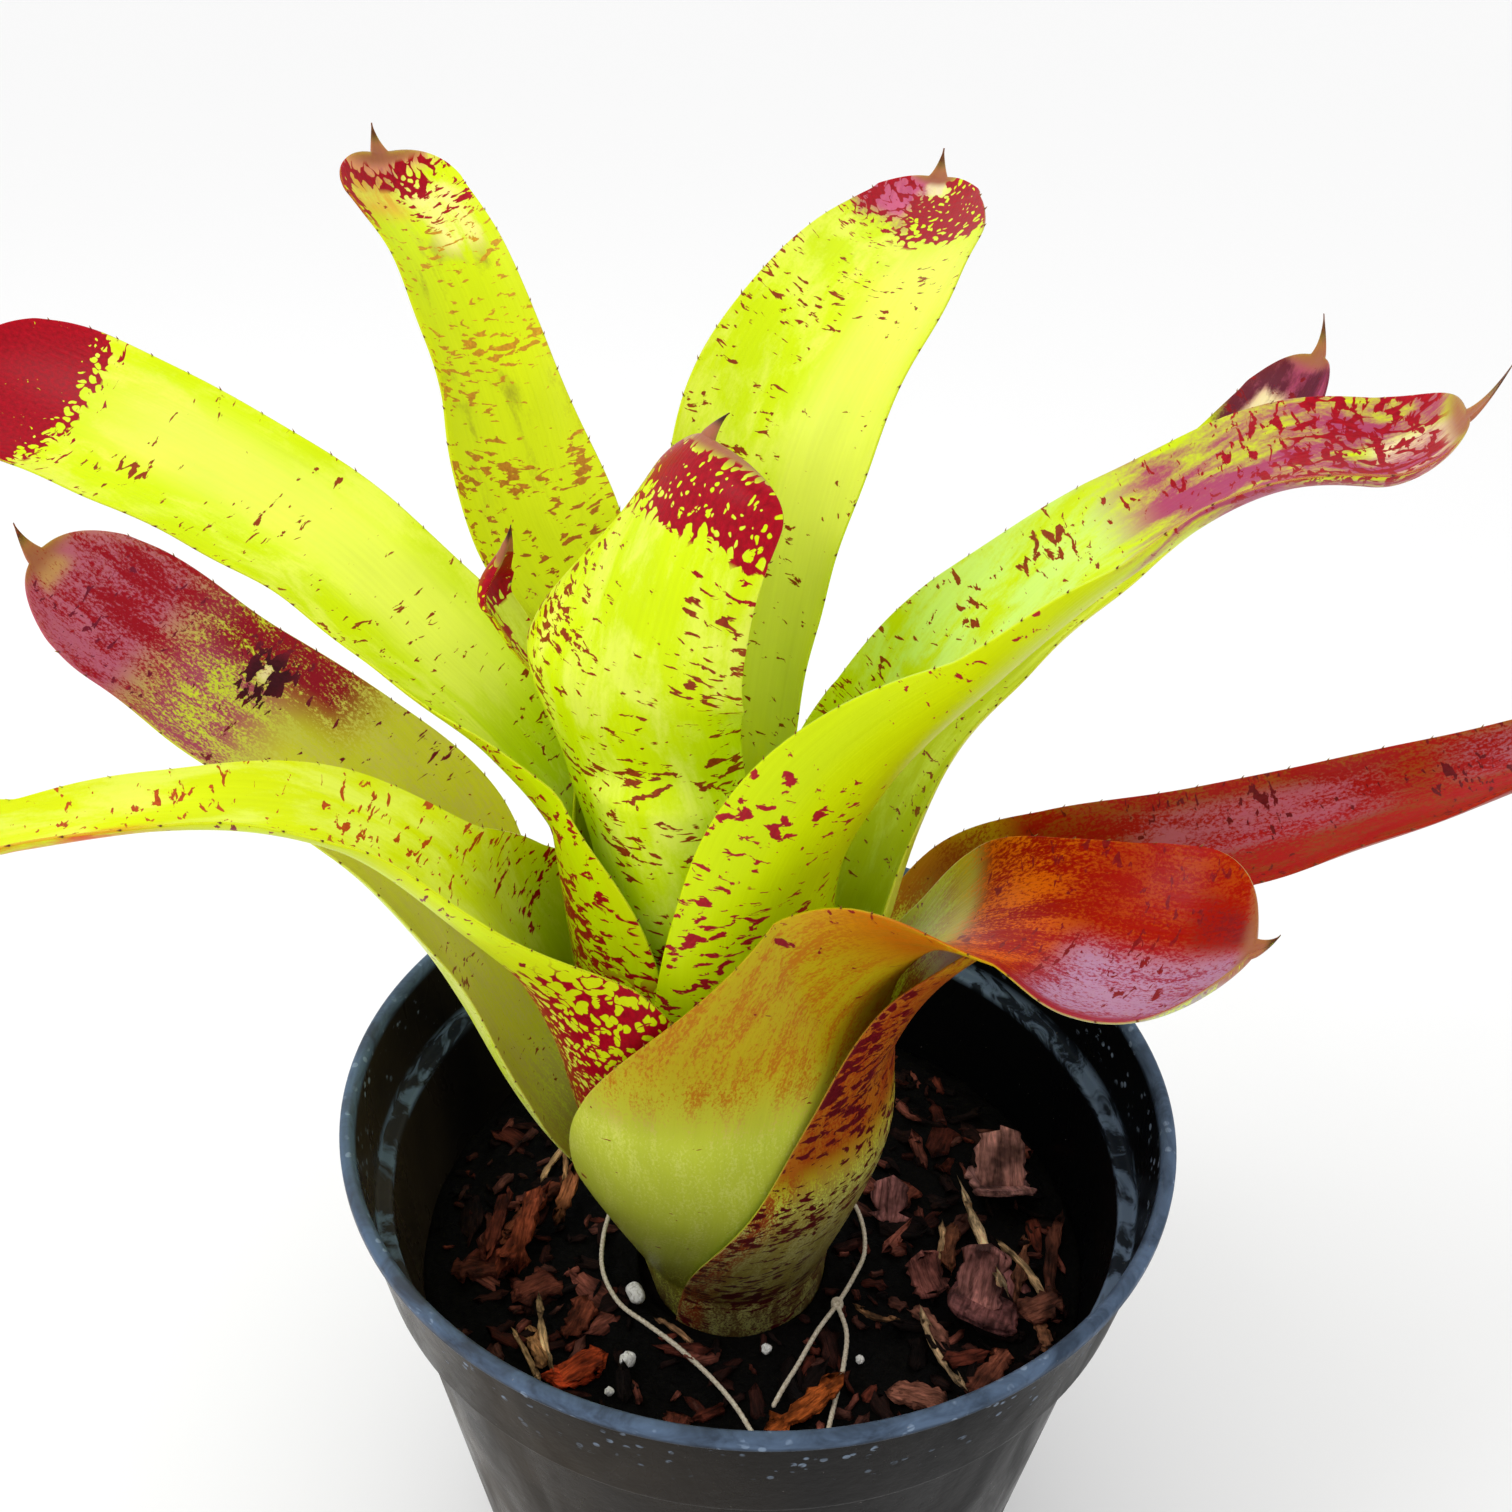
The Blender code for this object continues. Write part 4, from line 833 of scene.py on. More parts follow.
# Zones of each leaf's skin, laid one over another: its face, from where to where along the leaf's
# length it lies and how softly it ends, what it changes, and where it lies from edge to edge.
PAINT = {
    "leaf_09_back_left": [
        ("in", (0.0, 0.9, 0.2), dict(tint=SHADE_LIME)),
        ("in", (0.4, 0.93, 0.1), dict(cloud=OLIVE)),
        ("in", (0.0, 0.93, 0.1), dict(clouds=0.12)),
        ("in", (0.0, 0.95, 0.04), dict(blot=OCHRE)),
        ("in", (0.0, 0.7, 0.3), dict(blot=RED_BROWN)),
        ("in", (0.45, 0.98, 0.04), dict(spots=0.36)),
        ("in", (0.9, 0.97, 0.03), dict(cloud=colour(238, 232, 130), clouds=0.7), (-0.9, -0.1, 0.4)),
        ("in", (0.945, 1.1, 0.03), dict(tint=colour(222, 176, 56)), (0.0, 0.9, 0.3)),
        ("both", (0.985, 1.1, 0.015), dict(tint=colour(226, 150, 120))),
        ("both", (0.975, 1.1, 0.02), dict(cloud=MAUVE), (-0.2, 1.5, 0.3)),
        ("both", (0.93, 1.1, 0.02), dict(blot=CRIMSON)),
        ("both", (0.975, 1.1, 0.02), dict(net=0.42)),
        ("both", (0.965, 1.1, 0.015), dict(net=0.6), (-0.5, 0.0, 0.2)),
        ("both", (0.93, 1.1, 0.02), dict(net=0.85), (0.8, 1.5, 0.1))],
    "leaf_08_back": [
        # Painted light: the lower inner face is lightened where it lies in the shade of other
        # leaves.
        ("in", (0.1, 0.62, 0.2), dict(tint=colour(232, 244, 30))),
        ("in", (0.3, 0.95, 0.04), dict(spots=0.2)),
        ("in", (0.45, 0.95, 0.04), dict(spots=0.33), (0.1, 1.5, 0.5)),
        # Painted highlight: a broad pale gloss on one half of the blade.
        ("in", (0.5, 0.9, 0.1), dict(tint=PALE_HIGHLIGHT), (-0.95, 0.0, 0.4)),
        ("both", (0.92, 1.1, 0.02), dict(cloud=MAUVE, clouds=0.55), (0.0, 1.5, 0.3)),
        ("both", (0.88, 1.1, 0.02), dict(blot=CRIMSON)),
        ("both", (0.94, 1.1, 0.02), dict(net=0.95)),
        ("both", (0.905, 1.1, 0.03), dict(net=0.9), (-1.5, 0.1, 0.5)),
        ("both", (0.92, 1.1, 0.02), dict(net=0.35), (0.25, 0.9, 0.2)),
        ("both", (0.935, 1.1, 0.02), dict(tint=colour(196, 92, 128)), (0.25, 1.5, 0.2)),
        ("both", (0.975, 1.1, 0.01), dict(tint=CREAM, net=0.0), (-0.45, 0.3, 0.2))],
    "leaf_07_left": [
        ("in", (0.45, 0.95, 0.04), dict(spots=0.22)),
        # Painted highlight: a pale patch of gloss on the blade.
        ("in", (0.55, 0.88, 0.1), dict(tint=PALE_HIGHLIGHT), (-0.7, 0.2, 0.5)),
        ("both", (0.88, 1.1, 0.02), dict(blot=CRIMSON)),
        ("both", (0.905, 1.1, 0.012), dict(net=0.55)),
        ("both", (0.92, 1.1, 0.02), dict(net=1.35)),
        ("out", (0.1, 0.6, 0.05), dict(blot=CRIMSON), (0, 1.5, 0.4)),
        ("out", (0.1, 0.6, 0.1), dict(spots=0.4), (-1.5, 1.5, 0.5)),
        ("out", (0.2, 0.38, 0.06), dict(net=0.36), (0.2, 1.5, 0.4))],
    "leaf_03_old_left": [
        # Pale green of the back, made lighter as painted light against the shade on this face.
        ("out", (0.0, 0.8, 0.1), dict(tint=colour(226, 236, 124))),
        ("in", (0.0, 0.8, 0.2), dict(tint=colour(204, 198, 92))),
        ("in", (0.3, 0.95, 0.1), dict(cloud=colour(206, 206, 60), clouds=0.6)),
        ("in", (0.76, 1.1, 0.08), dict(cloud=MAUVE)),
        ("in", (0.76, 0.92, 0.08), dict(clouds=0.62)),
        ("both", (0.86, 1.1, 0.08), dict(tint=colour(178, 92, 120))),
        ("both", (0.86, 1.1, 0.06), dict(cloud=colour(150, 4, 26))),
        ("both", (0.88, 1.1, 0.06), dict(clouds=0.42)),
        ("both", (0.84, 0.96, 0.06), dict(clouds=0.72), (-1.2, 0.1, 0.5)),
        ("in", (0.7, 0.86, 0.06), dict(cloud=colour(140, 6, 36), clouds=0.8), (-1.5, -0.4, 0.5)),
        ("in", (0.975, 1.1, 0.014), dict(tint=TAN, clouds=0.0), (-0.4, 0.4, 0.3)),
        ("both", (0.6, 1.1, 0.05), dict(blot=colour(110, 16, 44))),
        ("both", (0.7, 1.1, 0.1), dict(spots=0.24)),
        ("in", (0.765, 0.81, 0.02), dict(blot=colour(56, 8, 26), spots=0.62), (-0.75, -0.1, 0.2)),
        ("in", (0.785, 0.795, 0.006), dict(tint=CREAM, spots=0.0, clouds=0.0), (-0.6, -0.4, 0.06))],
    "leaf_05_low_left": [
        ("in", (0.5, 1.1, 0.04), dict(spots=0.2)),
        ("in", (0.5, 1.1, 0.1), dict(tint=colour(212, 228, 4), blot=colour(176, 70, 20))),
        ("in", (0.6, 1.1, 0.1), dict(spots=0.28)),
        ("in", (0.44, 0.62, 0.1), dict(spots=0.36), (-1.5, -0.4, 0.3)),
        ("both", (0.1, 0.56, 0.04), dict(blot=CRIMSON)),
        # Pale green strip of the back, made lighter as painted light against the shade on this
        # face.
        ("out", (0.0, 1.1, 0.1), dict(tint=colour(224, 236, 90)), (-1.5, 0.3, 0.5)),
        ("out", (0.1, 0.5, 0.1), dict(spots=0.4)),
        ("out", (0.12, 0.55, 0.08), dict(net=0.55), (-0.3, 1.5, 0.4)),
        ("both", (0.86, 1.1, 0.08), dict(tint=ORANGE), (0.4, 1.5, 0.4))],
    "leaf_10_front": [
        # The pale clouds on this outer face are painted highlights.
        ("out", (0.0, 1.1, 0.1), dict(tint=CHARTREUSE, cloud=PALE_HIGHLIGHT)),
        ("out", (0.5, 0.95, 0.1), dict(clouds=0.42), (-0.7, 0.5, 0.3)),
        ("out", (0.0, 0.9, 0.1), dict(blot=RED_BROWN)),
        ("out", (0.3, 0.95, 0.1), dict(spots=0.31)),
        ("out", (0.2, 0.62, 0.1), dict(spots=0.37)),
        ("out", (0.4, 0.95, 0.1), dict(spots=0.4), (0.6, 1.5, 0.3)),
        ("out", (0.1, 0.55, 0.1), dict(blot=CRIMSON)),
        ("out", (0.1, 0.48, 0.06), dict(net=0.35), (-1.5, 0.0, 0.3)),
        ("both", (0.9, 1.1, 0.04), dict(blot=CRIMSON)),
        ("both", (0.93, 1.1, 0.03), dict(net=0.5)),
        ("both", (0.955, 1.1, 0.03), dict(net=1.1)),
        ("both", (0.94, 1.1, 0.03), dict(net=0.95), (0.1, 1.5, 0.5)),
        ("in", (0.9, 1.1, 0.04), dict(cloud=MAUVE))],
    "leaf_11_heart": [
        ("both", (0.0, 1.1, 0.1), dict(tint=SHADE_LIME)),
        ("both", (0.5, 1.1, 0.1), dict(blot=CRIMSON)),
        ("both", (0.93, 1.1, 0.02), dict(net=1.1)),
        ("both", (0.86, 0.95, 0.03), dict(net=0.5), (0.0, 1.5, 0.3)),
        ("both", (0.8, 0.83, 0.012), dict(tint=TAN), (-0.5, 0.7, 0.2))],
    "leaf_06_right": [
        ("out", (0.35, 0.85, 0.1), dict(tint=CHARTREUSE)),
        ("in", (0.3, 0.85, 0.04), dict(spots=0.18)),
        # Painted highlight: whitish clouds of gloss on the blade.
        ("in", (0.6, 0.84, 0.1), dict(cloud=colour(208, 244, 120), clouds=0.6)),
        ("in", (0.5, 0.85, 0.1), dict(spots=0.32), (0.5, 1.5, 0.2)),
        ("out", (0.0, 0.8, 0.1), dict(blot=colour(162, 22, 38))),
        ("out", (0.2, 0.6, 0.06), dict(spots=0.37), (-1.5, -0.3, 0.3)),
        ("out", (0.58, 0.85, 0.06), dict(spots=0.16)),
        ("both", (0.8, 1.1, 0.1), dict(blot=CRIMSON)),
        ("both", (0.8, 1.1, 0.06), dict(cloud=MAUVE)),
        ("both", (0.84, 1.1, 0.06), dict(clouds=0.66)),
        ("both", (0.84, 1.1, 0.08), dict(spots=0.42)),
        ("both", (0.9, 1.1, 0.04), dict(net=0.22)),
        ("both", (0.955, 1.1, 0.02), dict(tint=CREAM), (-0.5, 0.5, 0.3))],
    "leaf_04_back_right": [
        ("out", (0.0, 0.9, 0.1), dict(tint=LIT_BACK_GREEN)),
        ("out", (0.0, 0.85, 0.04), dict(spots=0.16)),
        ("in", (0.0, 0.9, 0.1), dict(tint=SHADE_LIME)),
        ("both", (0.7, 1.1, 0.04), dict(blot=DARK_RED)),
        ("both", (0.93, 1.1, 0.03), dict(tint=MAUVE)),
        ("both", (0.9, 1.1, 0.03), dict(cloud=PURPLE)),
        ("both", (0.92, 1.1, 0.03), dict(clouds=0.7)),
        ("in", (0.9, 0.965, 0.015), dict(tint=CREAM, spots=0.0, clouds=0.0), (0.2, 0.7, 0.2))],
    "leaf_02_front_right": [
        ("out", (0.0, 0.55, 0.1), dict(tint=colour(190, 200, 62))),
        ("out", (-1.0, 0.16, 0.12), dict(tint=colour(142, 138, 36))),
        ("out", (-1.0, 0.07, 0.08), dict(tint=colour(104, 80, 40))),
        ("out", (0.0, 0.5, 0.1), dict(cloud=colour(206, 212, 96), clouds=0.3)),
        ("out", (0.0, 0.7, 0.1), dict(spots=0.12)),
        ("out", (0.48, 0.7, 0.12), dict(tint=colour(178, 156, 14))),
        ("out", (0.46, 0.75, 0.08), dict(cloud=colour(176, 108, 14))),
        ("out", (0.5, 0.75, 0.06), dict(clouds=0.42)),
        ("out", (0.66, 1.1, 0.08), dict(tint=colour(190, 104, 8))),
        ("in", (0.0, 0.69, 0.04), dict(tint=colour(206, 212, 0), cloud=colour(196, 160, 0))),
        ("in", (0.69, 1.1, 0.05), dict(tint=colour(224, 104, 0))),
        ("in", (0.7, 1.1, 0.06), dict(cloud=colour(156, 8, 4))),
        ("in", (0.8, 1.1, 0.08), dict(tint=colour(172, 54, 10))),
        ("in", (0.66, 1.1, 0.06), dict(clouds=0.62)),
        ("in", (0.6, 1.1, 0.1), dict(blot=DARK_RED)),
        ("in", (0.7, 1.1, 0.1), dict(spots=0.25)),
        ("in", (0.83, 1.1, 0.05), dict(tint=colour(176, 130, 166), cloud=colour(150, 36, 64)),
         (-1.5, 0.0, 0.4)),
        ("in", (0.84, 1.1, 0.05), dict(clouds=0.4), (-1.5, 0.0, 0.4)),
        ("in", (0.8, 1.1, 0.05), dict(tint=colour(150, 20, 40)), (-1.5, -0.9, 0.1)),
        ("out", (0.85, 1.1, 0.1), dict(tint=GREY_MAUVE)),
        ("in", (0.93, 1.1, 0.04), dict(tint=DARK_RED), (0.1, 0.6, 0.3))],
    "leaf_01_lowest_right": [
        ("out", (-1.0, 0.3, 0.1), dict(tint=colour(164, 148, 66))),
        ("out", (-1.0, 0.26, 0.1), dict(cloud=colour(194, 188, 112))),
        ("out", (-1.0, 0.08, 0.08), dict(tint=colour(112, 84, 44))),
        ("out", (-1.0, 0.45, 0.1), dict(tint=colour(150, 60, 26)), (-1.5, -0.86, 0.1)),
        ("out", (-1.0, 0.45, 0.1), dict(spots=0.6), (-1.5, -0.8, 0.2)),
        ("out", (0.0, 0.45, 0.1), dict(blot=colour(86, 14, 22), spots=0.42)),
        ("both", (0.28, 0.5, 0.06), dict(tint=colour(164, 92, 20))),
        ("out", (0.28, 0.5, 0.06), dict(cloud=colour(150, 56, 14), clouds=0.5)),
        ("both", (0.5, 1.1, 0.08), dict(tint=colour(150, 8, 4))),
        ("both", (0.42, 1.1, 0.1), dict(cloud=colour(142, 56, 8))),
        ("both", (0.5, 1.1, 0.1), dict(clouds=0.42)),
        ("in", (0.6, 0.95, 0.1), dict(tint=colour(164, 2, 6)), (-1.2, 0.2, 0.5)),
        # Painted sheen: mauve clouds stand for the glossy reflection on the red blade.
        ("in", (0.62, 0.8, 0.06), dict(cloud=colour(170, 84, 104), clouds=0.56), (0.0, 0.75, 0.3)),
        ("in", (0.86, 1.1, 0.05), dict(cloud=colour(160, 84, 100)), (0.1, 0.9, 0.3)),
        ("both", (0.4, 1.1, 0.1), dict(blot=colour(96, 8, 16))),
        ("in", (0.5, 1.1, 0.1), dict(spots=0.26))],
}


def layer_radius(layer, height):
    """Radius of the inner face of a layer of the tube at a height over the soil."""
    heights, hearts, steps = np.transpose(SHEATH)
    return np.interp(height, heights, hearts + SHEATH_STEP * steps * layer)


def ease(x):
    """Ease from 0 to 1 as 3x^2 - 2x^3, held at both ends."""
    x = np.clip(x, 0, 1)
    return x * x * (3 - 2 * x)


def plateau(x, low, high, soft):
    """1 between low and high, easing to 0 over soft on both sides."""
    return ease((x - low) / soft + 0.5) * ease((high - x) / soft + 0.5)


def leaf_frame(azimuth, layer, rings, wrap, fall, stations, s):
    """Midline points, side, inward and forward directions, half width and angle along a leaf.

    The tube's rings and the leaf's own stations are joined, and every column of that table is a
    smooth curve over the share of length s. Sections stay level in the tube and turn square to
    the midline up to the second station, and roll about it as the table says.
    """
    out = np.array([np.cos(np.radians(azimuth)), np.sin(np.radians(azimuth)), 0.0])
    side = np.array([-out[1], out[0], 0.0])
    up = np.array([0.0, 0.0, 1.0])
    rows = []
    for height, _, _ in SHEATH[:rings]:
        radius = layer_radius(layer, height)
        angle = wrap - fall * (height - SHEATH[0][0])
        lean = np.array([LEAN_X * height, LEAN_Y * height, 0])
        rows.append((radius + lean @ out, height, lean @ side,
                     radius * np.radians(angle), angle, 0))
    keys = np.array(rows + stations, float)
    share = run_of(keys[:, :3])
    share /= share[-1]

    def middle(x):
        """Points of the midline at shares of its length."""
        r, z, drift = (curve_through(x, share, keys[:, j])[:, None] for j in range(3))
        return np.array([AXIS_X, AXIS_Y, SOIL_Z]) + out * r + side * drift + up * z

    step = 0.001
    forward = unit(middle(np.minimum(s + step, 1)) - middle(np.maximum(s - step, 0)))
    free = ease((s - share[rings - 1]) / (share[rings + 1] - share[rings - 1]))[:, None]
    square = unit(up * (1 - free) + forward * free)
    across = unit(side - square * (square @ side)[:, None])
    inward = np.cross(square, across)
    roll = np.radians(curve_through(s, share, keys[:, 5]))[:, None]
    inward, across = turned(inward, across, roll)
    width = curve_through(s, share, keys[:, 3])
    angle = np.radians(curve_through(s, share, keys[:, 4]))
    return middle(s), across, inward, forward, width, angle, share[rings - 1]


def leaf_blade(index, azimuth, layer, rings, wrap, fall, round_from, curl, stations):
    """Inner and outer face points of a leaf, and what its teeth and its paint need.

    A section is an arc of half width w and half angle a, so its radius is w / a. The end rounds
    off as the root of 1 - tip^2.3 and curls up by curl tip^2. From its middle a cusp runs on, of
    half width CUSP_HALF (d / CUSP_REACH)^1.2 at the distance d from its point. The edges wave as
    |t|^4, the wall thins to them as 1 - 0.55 |t|^6, and no point of the sheath is nearer the
    axis than its layer.
    """
    x = np.linspace(0, 1, LEAF_ROWS - CUSP_ROWS)
    beyond = CUSP_LENGTH * np.r_[0 * x, np.linspace(0, 1, CUSP_ROWS + 1)[1:]]
    s = np.r_[1 - (1 - x) ** 1.5, np.ones(CUSP_ROWS)]
    point, across, inward, forward, width, angle, tube_end = leaf_frame(
        azimuth, layer, rings, wrap, fall, stations, s)
    along = beyond + run_of(point)
    left = along[-1] - along
    tip = np.clip((s - round_from) / (1 - round_from), 0, 1)
    cusp = CUSP_HALF * (left / CUSP_REACH) ** 1.2 * plateau(left, -99, CUSP_REACH + 2.5, 5)
    shoulder = width * np.sqrt(np.maximum(1 - tip**2.3, 0))
    width = np.maximum((shoulder**4 + cusp**4) ** 0.25, 0.1)
    rise = curl * (tip**2 + CUSP_RISE * beyond + CUSP_BOW * beyond**2)
    point = point + forward * beyond[:, None] + inward * rise[:, None]
    radius = (width / angle)[:, None, None]
    quarter = EDGE_CROWDING * np.pi / 2
    t = np.sin(np.linspace(-quarter, quarter, LEAF_COLUMNS + 1)) / np.sin(quarter)
    turn = (t * angle[:, None])[..., None]
    normal = inward[:, None] * np.cos(turn) - across[:, None] * np.sin(turn)
    arc = across[:, None] * radius * np.sin(turn) + inward[:, None] * radius * (1 - np.cos(turn))
    wave = (WAVE_HEIGHT * plateau(s, tube_end + 0.12, 0.95, 0.1)[:, None] * np.abs(t) ** 4
            * np.sin(along[:, None] / WAVE_LENGTH + index + 2.2 * np.sign(t)))
    wall = LEAF_THICKNESS * (1 - 0.55 * np.abs(t) ** 6) * np.clip(0.15 + left / 4, 0, 1)[:, None]

    def surface(lift):
        """Points of one face, lifted off the midline's arc and held off the plant's axis."""
        place = point[:, None] + arc + normal * lift[..., None]
        z = place[..., 2] - SOIL_Z
        axis = np.stack([AXIS_X + LEAN_X * z, AXIS_Y + LEAN_Y * z], -1)
        flat = place[..., :2] - axis
        fade = np.clip((TUBE_TOP + TUBE_FADE - z) / TUBE_FADE, 0, 1)
        least = (layer_radius(layer, z) - np.minimum(lift, 0)) * fade
        reach = np.maximum(np.linalg.norm(flat, axis=-1), 0.01)
        place[..., :2] = axis + flat * np.maximum(least / reach, 1)[..., None]
        return place

    return (surface(wave), surface(wave - wall), s, t, along, width,
            (across, inward, forward, angle, tube_end))


def cones(base, axis, radius, bow):
    """Points of small curved cones: radius (1 - u)^0.8, bowed by u^2 towards bow."""
    u = np.linspace(0, 1, TOOTH_ROWS)[None, :, None, None]
    a = turns(TOOTH_LOOP)[None, None, :, None]
    forward = unit(axis)
    first = unit(np.cross(forward, bow))
    second = np.cross(forward, first)
    spread = radius * (1 - 0.97 * u) ** 0.8 * (np.cos(a) * first[:, None, None]
                                               + np.sin(a) * second[:, None, None])
    return base[:, None, None] + axis[:, None, None] * u + bow[:, None, None] * u ** 2 + spread


def leaf_teeth(index, inner, outer, s, along, across, inward, forward, angle, tube_end):
    """Points of the teeth, one each TOOTH_PITCH on both edges, with seeded places and sizes."""
    rng = np.random.default_rng(100 + index)
    teeth = []
    for edge, column in ((-1, 0), (1, LEAF_COLUMNS)):
        rim = (inner[:, column] + outer[:, column]) / 2
        run = run_of(rim)
        start = np.interp(tube_end + 0.03, s, run)
        length = np.interp(along[-1] - TOOTHLESS_END, along, run) - start
        number = int(length / TOOTH_PITCH)
        at = start + length * (np.arange(number) + 0.5) / number
        at = at + rng.uniform(-TOOTH_STRAY, TOOTH_STRAY, number)
        out = across * (edge * np.cos(angle))[:, None] + inward * np.sin(angle)[:, None]
        base, out, ahead = (np.stack([np.interp(at, run, line[:, j]) for j in range(3)], -1)
                            for line in (rim, out, forward))
        size = rng.uniform(0.75, 1.15, number)[:, None]
        axis = (out * TOOTH_HEIGHT + ahead * TOOTH_RAKE) * size
        teeth.append(cones(base - out * TOOTH_SINK, axis, TOOTH_RADIUS, ahead * TOOTH_HOOK * size))
    return np.concatenate(teeth)


def leaf_paint(name, inside, both_s, both_t, left):
    """Colours and amounts of a leaf's pattern at each point of its skin, zone after zone."""
    on_inside = inside[..., None] > 0.5
    # Outer faces start in the darker shade lime, and inner faces have the pale painted highlight as
    # their second tint.
    colours = {"tint": np.where(on_inside, CHARTREUSE, SHADE_LIME),
               "cloud": np.where(on_inside, PALE_HIGHLIGHT, CHARTREUSE),
               "blot": np.where(on_inside, RED_BROWN, DARK_RED)}
    amounts = {"spots": np.full(both_s.shape, 0.2), "net": np.zeros(both_s.shape),
               "clouds": np.full(both_s.shape, 0.4)}
    for face, along_zone, look, *across_zones in PAINT[name]:
        share = plateau(both_s, *along_zone)
        for zone in across_zones:
            share = share * plateau(both_t, *zone)
        if face != "both":
            share = share * (inside > 0.5 if face == "in" else inside < 0.5)
        for quality, value in look.items():
            if quality in colours:
                colours[quality] = colours[quality] + share[..., None] * (value - colours[quality])
            else:
                amounts[quality] = amounts[quality] + share * (value - amounts[quality])
    for reach, soft, shade in ((6.0, 2.6, HORN_FOOT), (2.0, 1.8, HORN)):
        horn = plateau(left, -99, reach, soft)[:, None] + 0 * both_t
        colours["tint"] = colours["tint"] + horn[..., None] * (shade - colours["tint"])
        for quality in amounts:
            amounts[quality] = amounts[quality] * (1 - horn)
    return colours, amounts


def make_leaf(name, index, keys, slot, skin):
    """Close a leaf's two faces to a shell, set its teeth, and paint its skin."""
    inner, outer, s, t, along, width, directions = leaf_blade(index, *keys)
    blade = np.concatenate([outer, inner[:, ::-1]], axis=1)
    loop = blade.shape[1]
    faces = tube_faces(LEAF_ROWS, loop)
    last = (LEAF_ROWS - 1) * loop
    for c in range(LEAF_COLUMNS):
        cap = [c, c + 1, loop - 2 - c, loop - 1 - c]
        faces += [cap[::-1], [last + i for i in cap]]
    teeth = leaf_teeth(index, inner, outer, s, along, *directions)
    faces += closed_tubes(TOOTH_ROWS, TOOTH_LOOP, LEAF_ROWS * loop, len(teeth))
    teeth = teeth.reshape(-1, 3)

    both_t = np.r_[t, t[::-1]] + 0 * s[:, None]
    both_s = s[:, None] + 0 * both_t
    inside = np.repeat([0.0, 1.0], len(t)) + 0 * both_s
    colours, amounts = leaf_paint(name, inside, both_s, both_t, along[-1] - along)
    uv = np.stack([along[:, None] / SKIN_UNIT + 31.7 * index + 0 * both_t,
                   both_t * width[:, None] / SKIN_UNIT + 9.3 * (1 - inside)], -1)

    leaf = put_mesh(name + "_fine", np.vstack([blade.reshape(-1, 3), teeth]), faces, skin)
    mesh = leaf.data
    for quality, values in colours.items():
        set_attribute(mesh, quality, np.vstack([values.reshape(-1, 3),
                                                np.tile(TOOTH_BROWN, (len(teeth), 1))]))
    for quality, values in amounts.items():
        set_attribute(mesh, quality, np.r_[values.ravel(), np.zeros(len(teeth))])
    uv = np.vstack([uv.reshape(-1, 2), np.zeros((len(teeth), 2))])
    corner = np.empty(len(mesh.loops), np.int32)
    mesh.loops.foreach_get("vertex_index", corner)
    mesh.uv_layers.new(name="skin").data.foreach_set("uv", uv[corner].astype(np.float32).ravel())
    place_piece(leaf, slot, name)


def minus(tree, first, second):
    """First value less the second."""
    return add(tree, "Math", {0: first, 1: second}, operation="SUBTRACT").outputs[0]


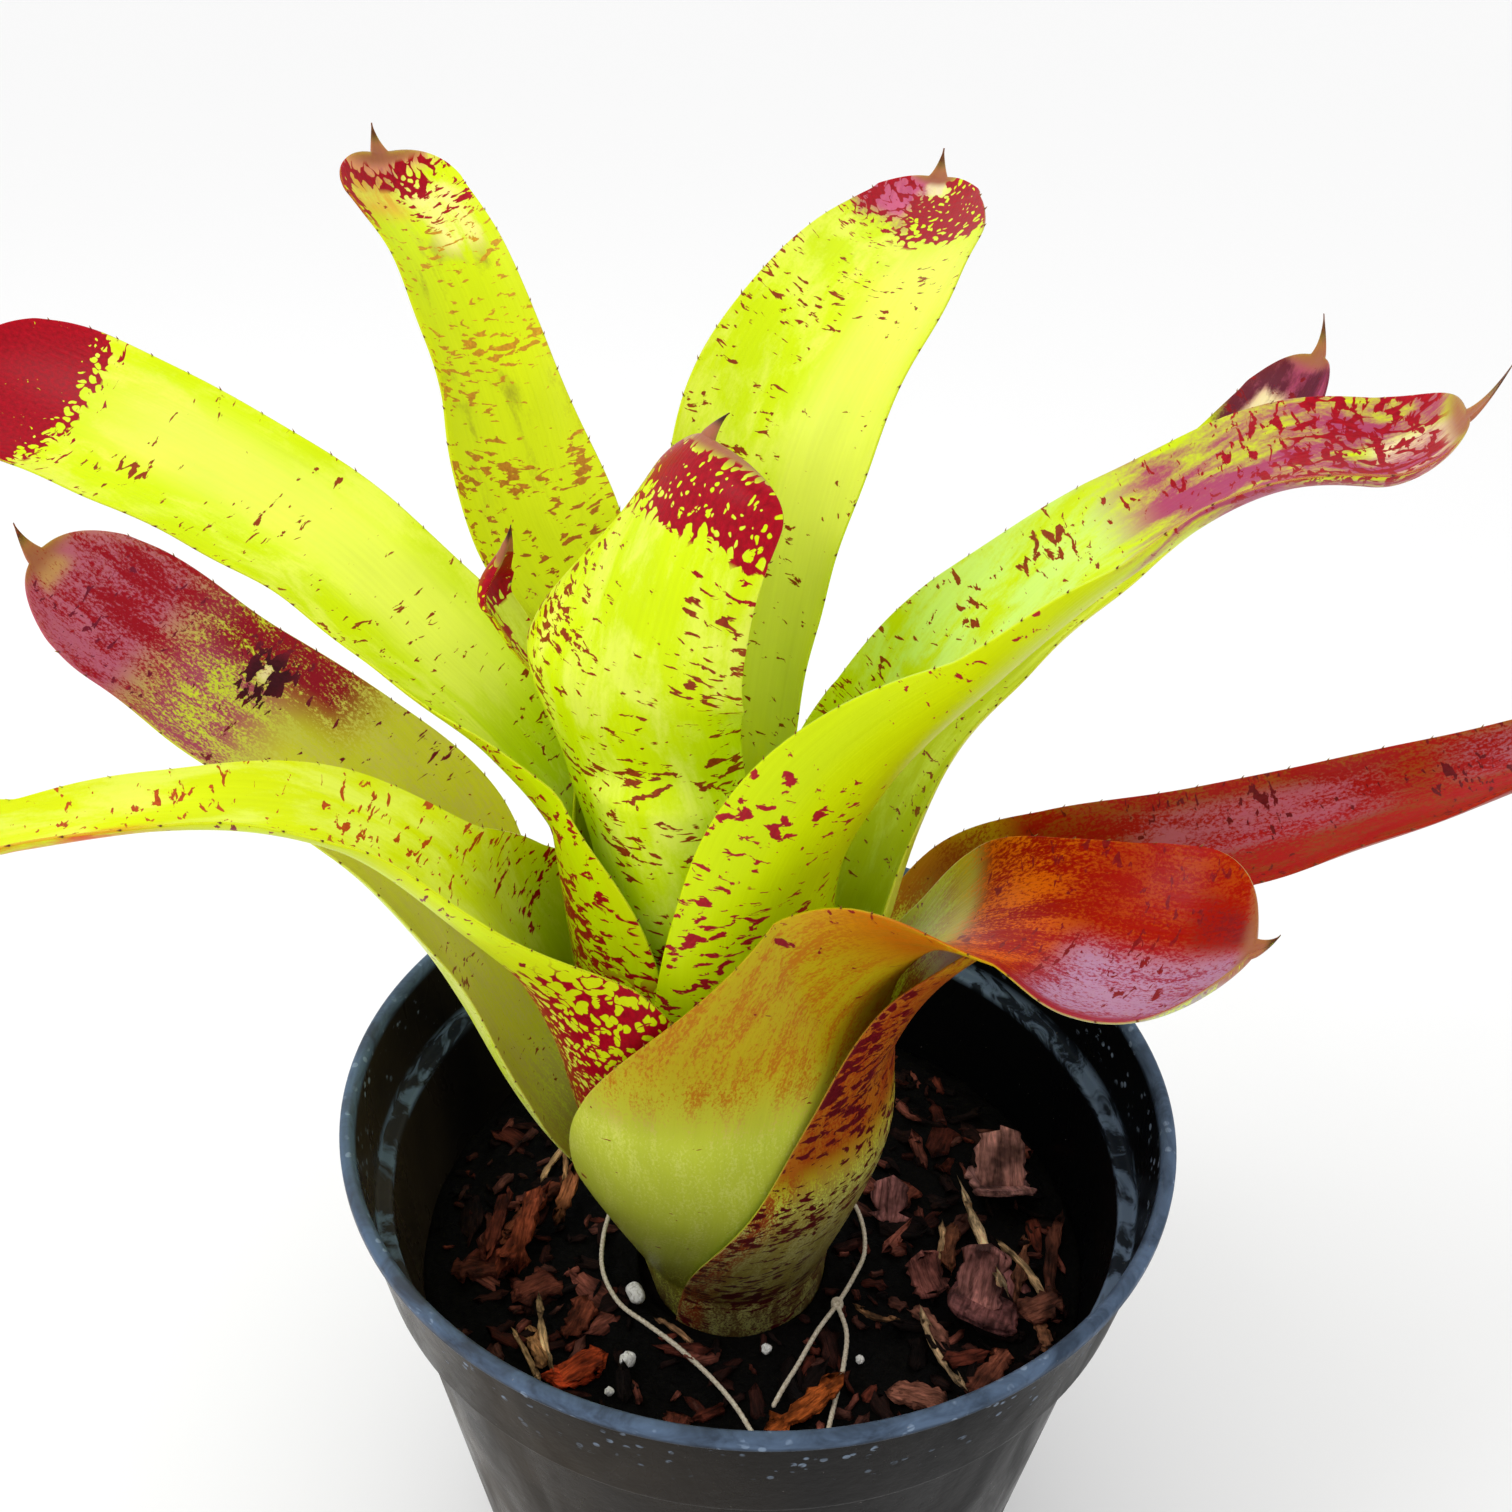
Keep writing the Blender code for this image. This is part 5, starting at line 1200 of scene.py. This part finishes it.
def leaf_skin(name, roughness, streak, detail, graininess):
    """Waxy leaf skin: a tint with streaky clouds of a second, then flecks and a net of a third.

    Flecks lie across the leaf in rows, where noise passes a level that falls with "spots". The net
    fills the space round islands, which shrink as "net" rises. "clouds" widens the second tint.
    """
    made, tree, shader = finish(name)
    place = add(tree, "UVMap", uv_map="skin").outputs[0]
    tint, cloud, blot = (add(tree, "Attribute", attribute_name=quality).outputs["Color"]
                         for quality in ("tint", "cloud", "blot"))
    spots, net, clouds = (add(tree, "Attribute", attribute_name=quality).outputs["Fac"]
                          for quality in ("spots", "net", "clouds"))
    broad = noise(tree, place, (0.5, 0.8, 1))
    rows = noise(tree, place, (1.3, 0.22, 1), 1, 0.5, 0.3)
    flecks = noise(tree, place, (8.0, 3.4, 1), 3, 0.55, 0.5)
    streaks = noise(tree, place, streak, detail, 0.6, 0.5)
    grains = noise(tree, place, (15, 22, 1), 4, 0.7)
    fine = noise(tree, place, (12, 16, 1), 3, 0.6)
    veins = noise(tree, place, (0.3, 15, 1))

    def swing(value, size):
        """A noise taken to run round 0, times a size."""
        return times(tree, minus(tree, value, 0.5), size)

    uneven = plus(tree, swing(broad, 0.35), swing(rows, 0.30))
    fleck_level = minus(tree, FLECK_LEVEL, times(tree, spots, FLECK_GAIN))
    fleck = rerange(tree, plus(tree, minus(tree, flecks, fleck_level), uneven), -0.015, 0.02,
                    kind="SMOOTHSTEP")

    drift = add(tree, "TexNoise", {"Vector": place, "Scale": 2.2, "Detail": 3.0}).outputs["Color"]
    wandered = add(tree, "VectorMath", {0: place, 1: scaled(tree, drift, 0.45)}, operation="ADD")
    cells = add(tree, "Mapping", {"Vector": wandered.outputs[0], "Scale": (4.8, 7.4, 1)})
    island = add(tree, "TexVoronoi", {"Vector": cells.outputs[0], "Scale": 1.0},
                 voronoi_dimensions="2D").outputs["Distance"]
    net_level = minus(tree, NET_LEVEL, times(tree, net, NET_GAIN))
    net_level = minus(tree, net_level, swing(streaks, 0.9))
    knit = rerange(tree, minus(tree, island, net_level), -0.03, 0.03, kind="SMOOTHSTEP")
    knit = times(tree, knit, rerange(tree, net, 0.05, 0.2))
    marked = add(tree, "Math", {0: fleck, 1: knit}, operation="MAXIMUM").outputs[0]

    cloud_level = minus(tree, CLOUD_LEVEL, times(tree, clouds, CLOUD_GAIN))
    mist = plus(tree, minus(tree, streaks, cloud_level), swing(grains, graininess))
    body = mix(tree, rerange(tree, mist, -0.12, 0.14, kind="SMOOTHSTEP"), tint, cloud)
    body = scaled(tree, body, times(tree, rerange(tree, broad, 0.3, 0.7, 0.93, 1.06),
                                    rerange(tree, veins, 0.3, 0.7, 0.97, 1.02)))
    blot = scaled(tree, blot, rerange(tree, fine, 0.3, 0.7, 0.75, 1.25))
    relief = plus(tree, times(tree, veins, 0.7), times(tree, fine, 0.4))
    dress(tree, shader, {
        "Base Color": mix(tree, marked, body, blot), "Specular IOR Level": 0.11,
        "Roughness": rerange(tree, fine, 0.3, 0.7, roughness - 0.05, roughness + 0.08),
        "Normal": bump(tree, relief, 0.00025, 0.35), "Subsurface Weight": 0.3,
        "Subsurface Radius": (1.0, 1.0, 0.2), "Subsurface Scale": 0.003})
    return made


fresh = leaf_skin("leaf_fresh", 0.38, (0.7, 1.7, 1), 3, 0.25)
ageing = leaf_skin("leaf_ageing", 0.32, (1.0, 3.0, 1), 6, 1.3)
SKINS = {"leaf_01_lowest_right": ("leaf_ageing", ageing),
         "leaf_02_front_right": ("leaf_ageing", ageing),
         "leaf_03_old_left": ("leaf_fresh", ageing)}
for index, (name, keys) in enumerate(LEAVES.items()):
    make_leaf(name, index, keys, *SKINS.get(name, ("leaf_fresh", fresh)))
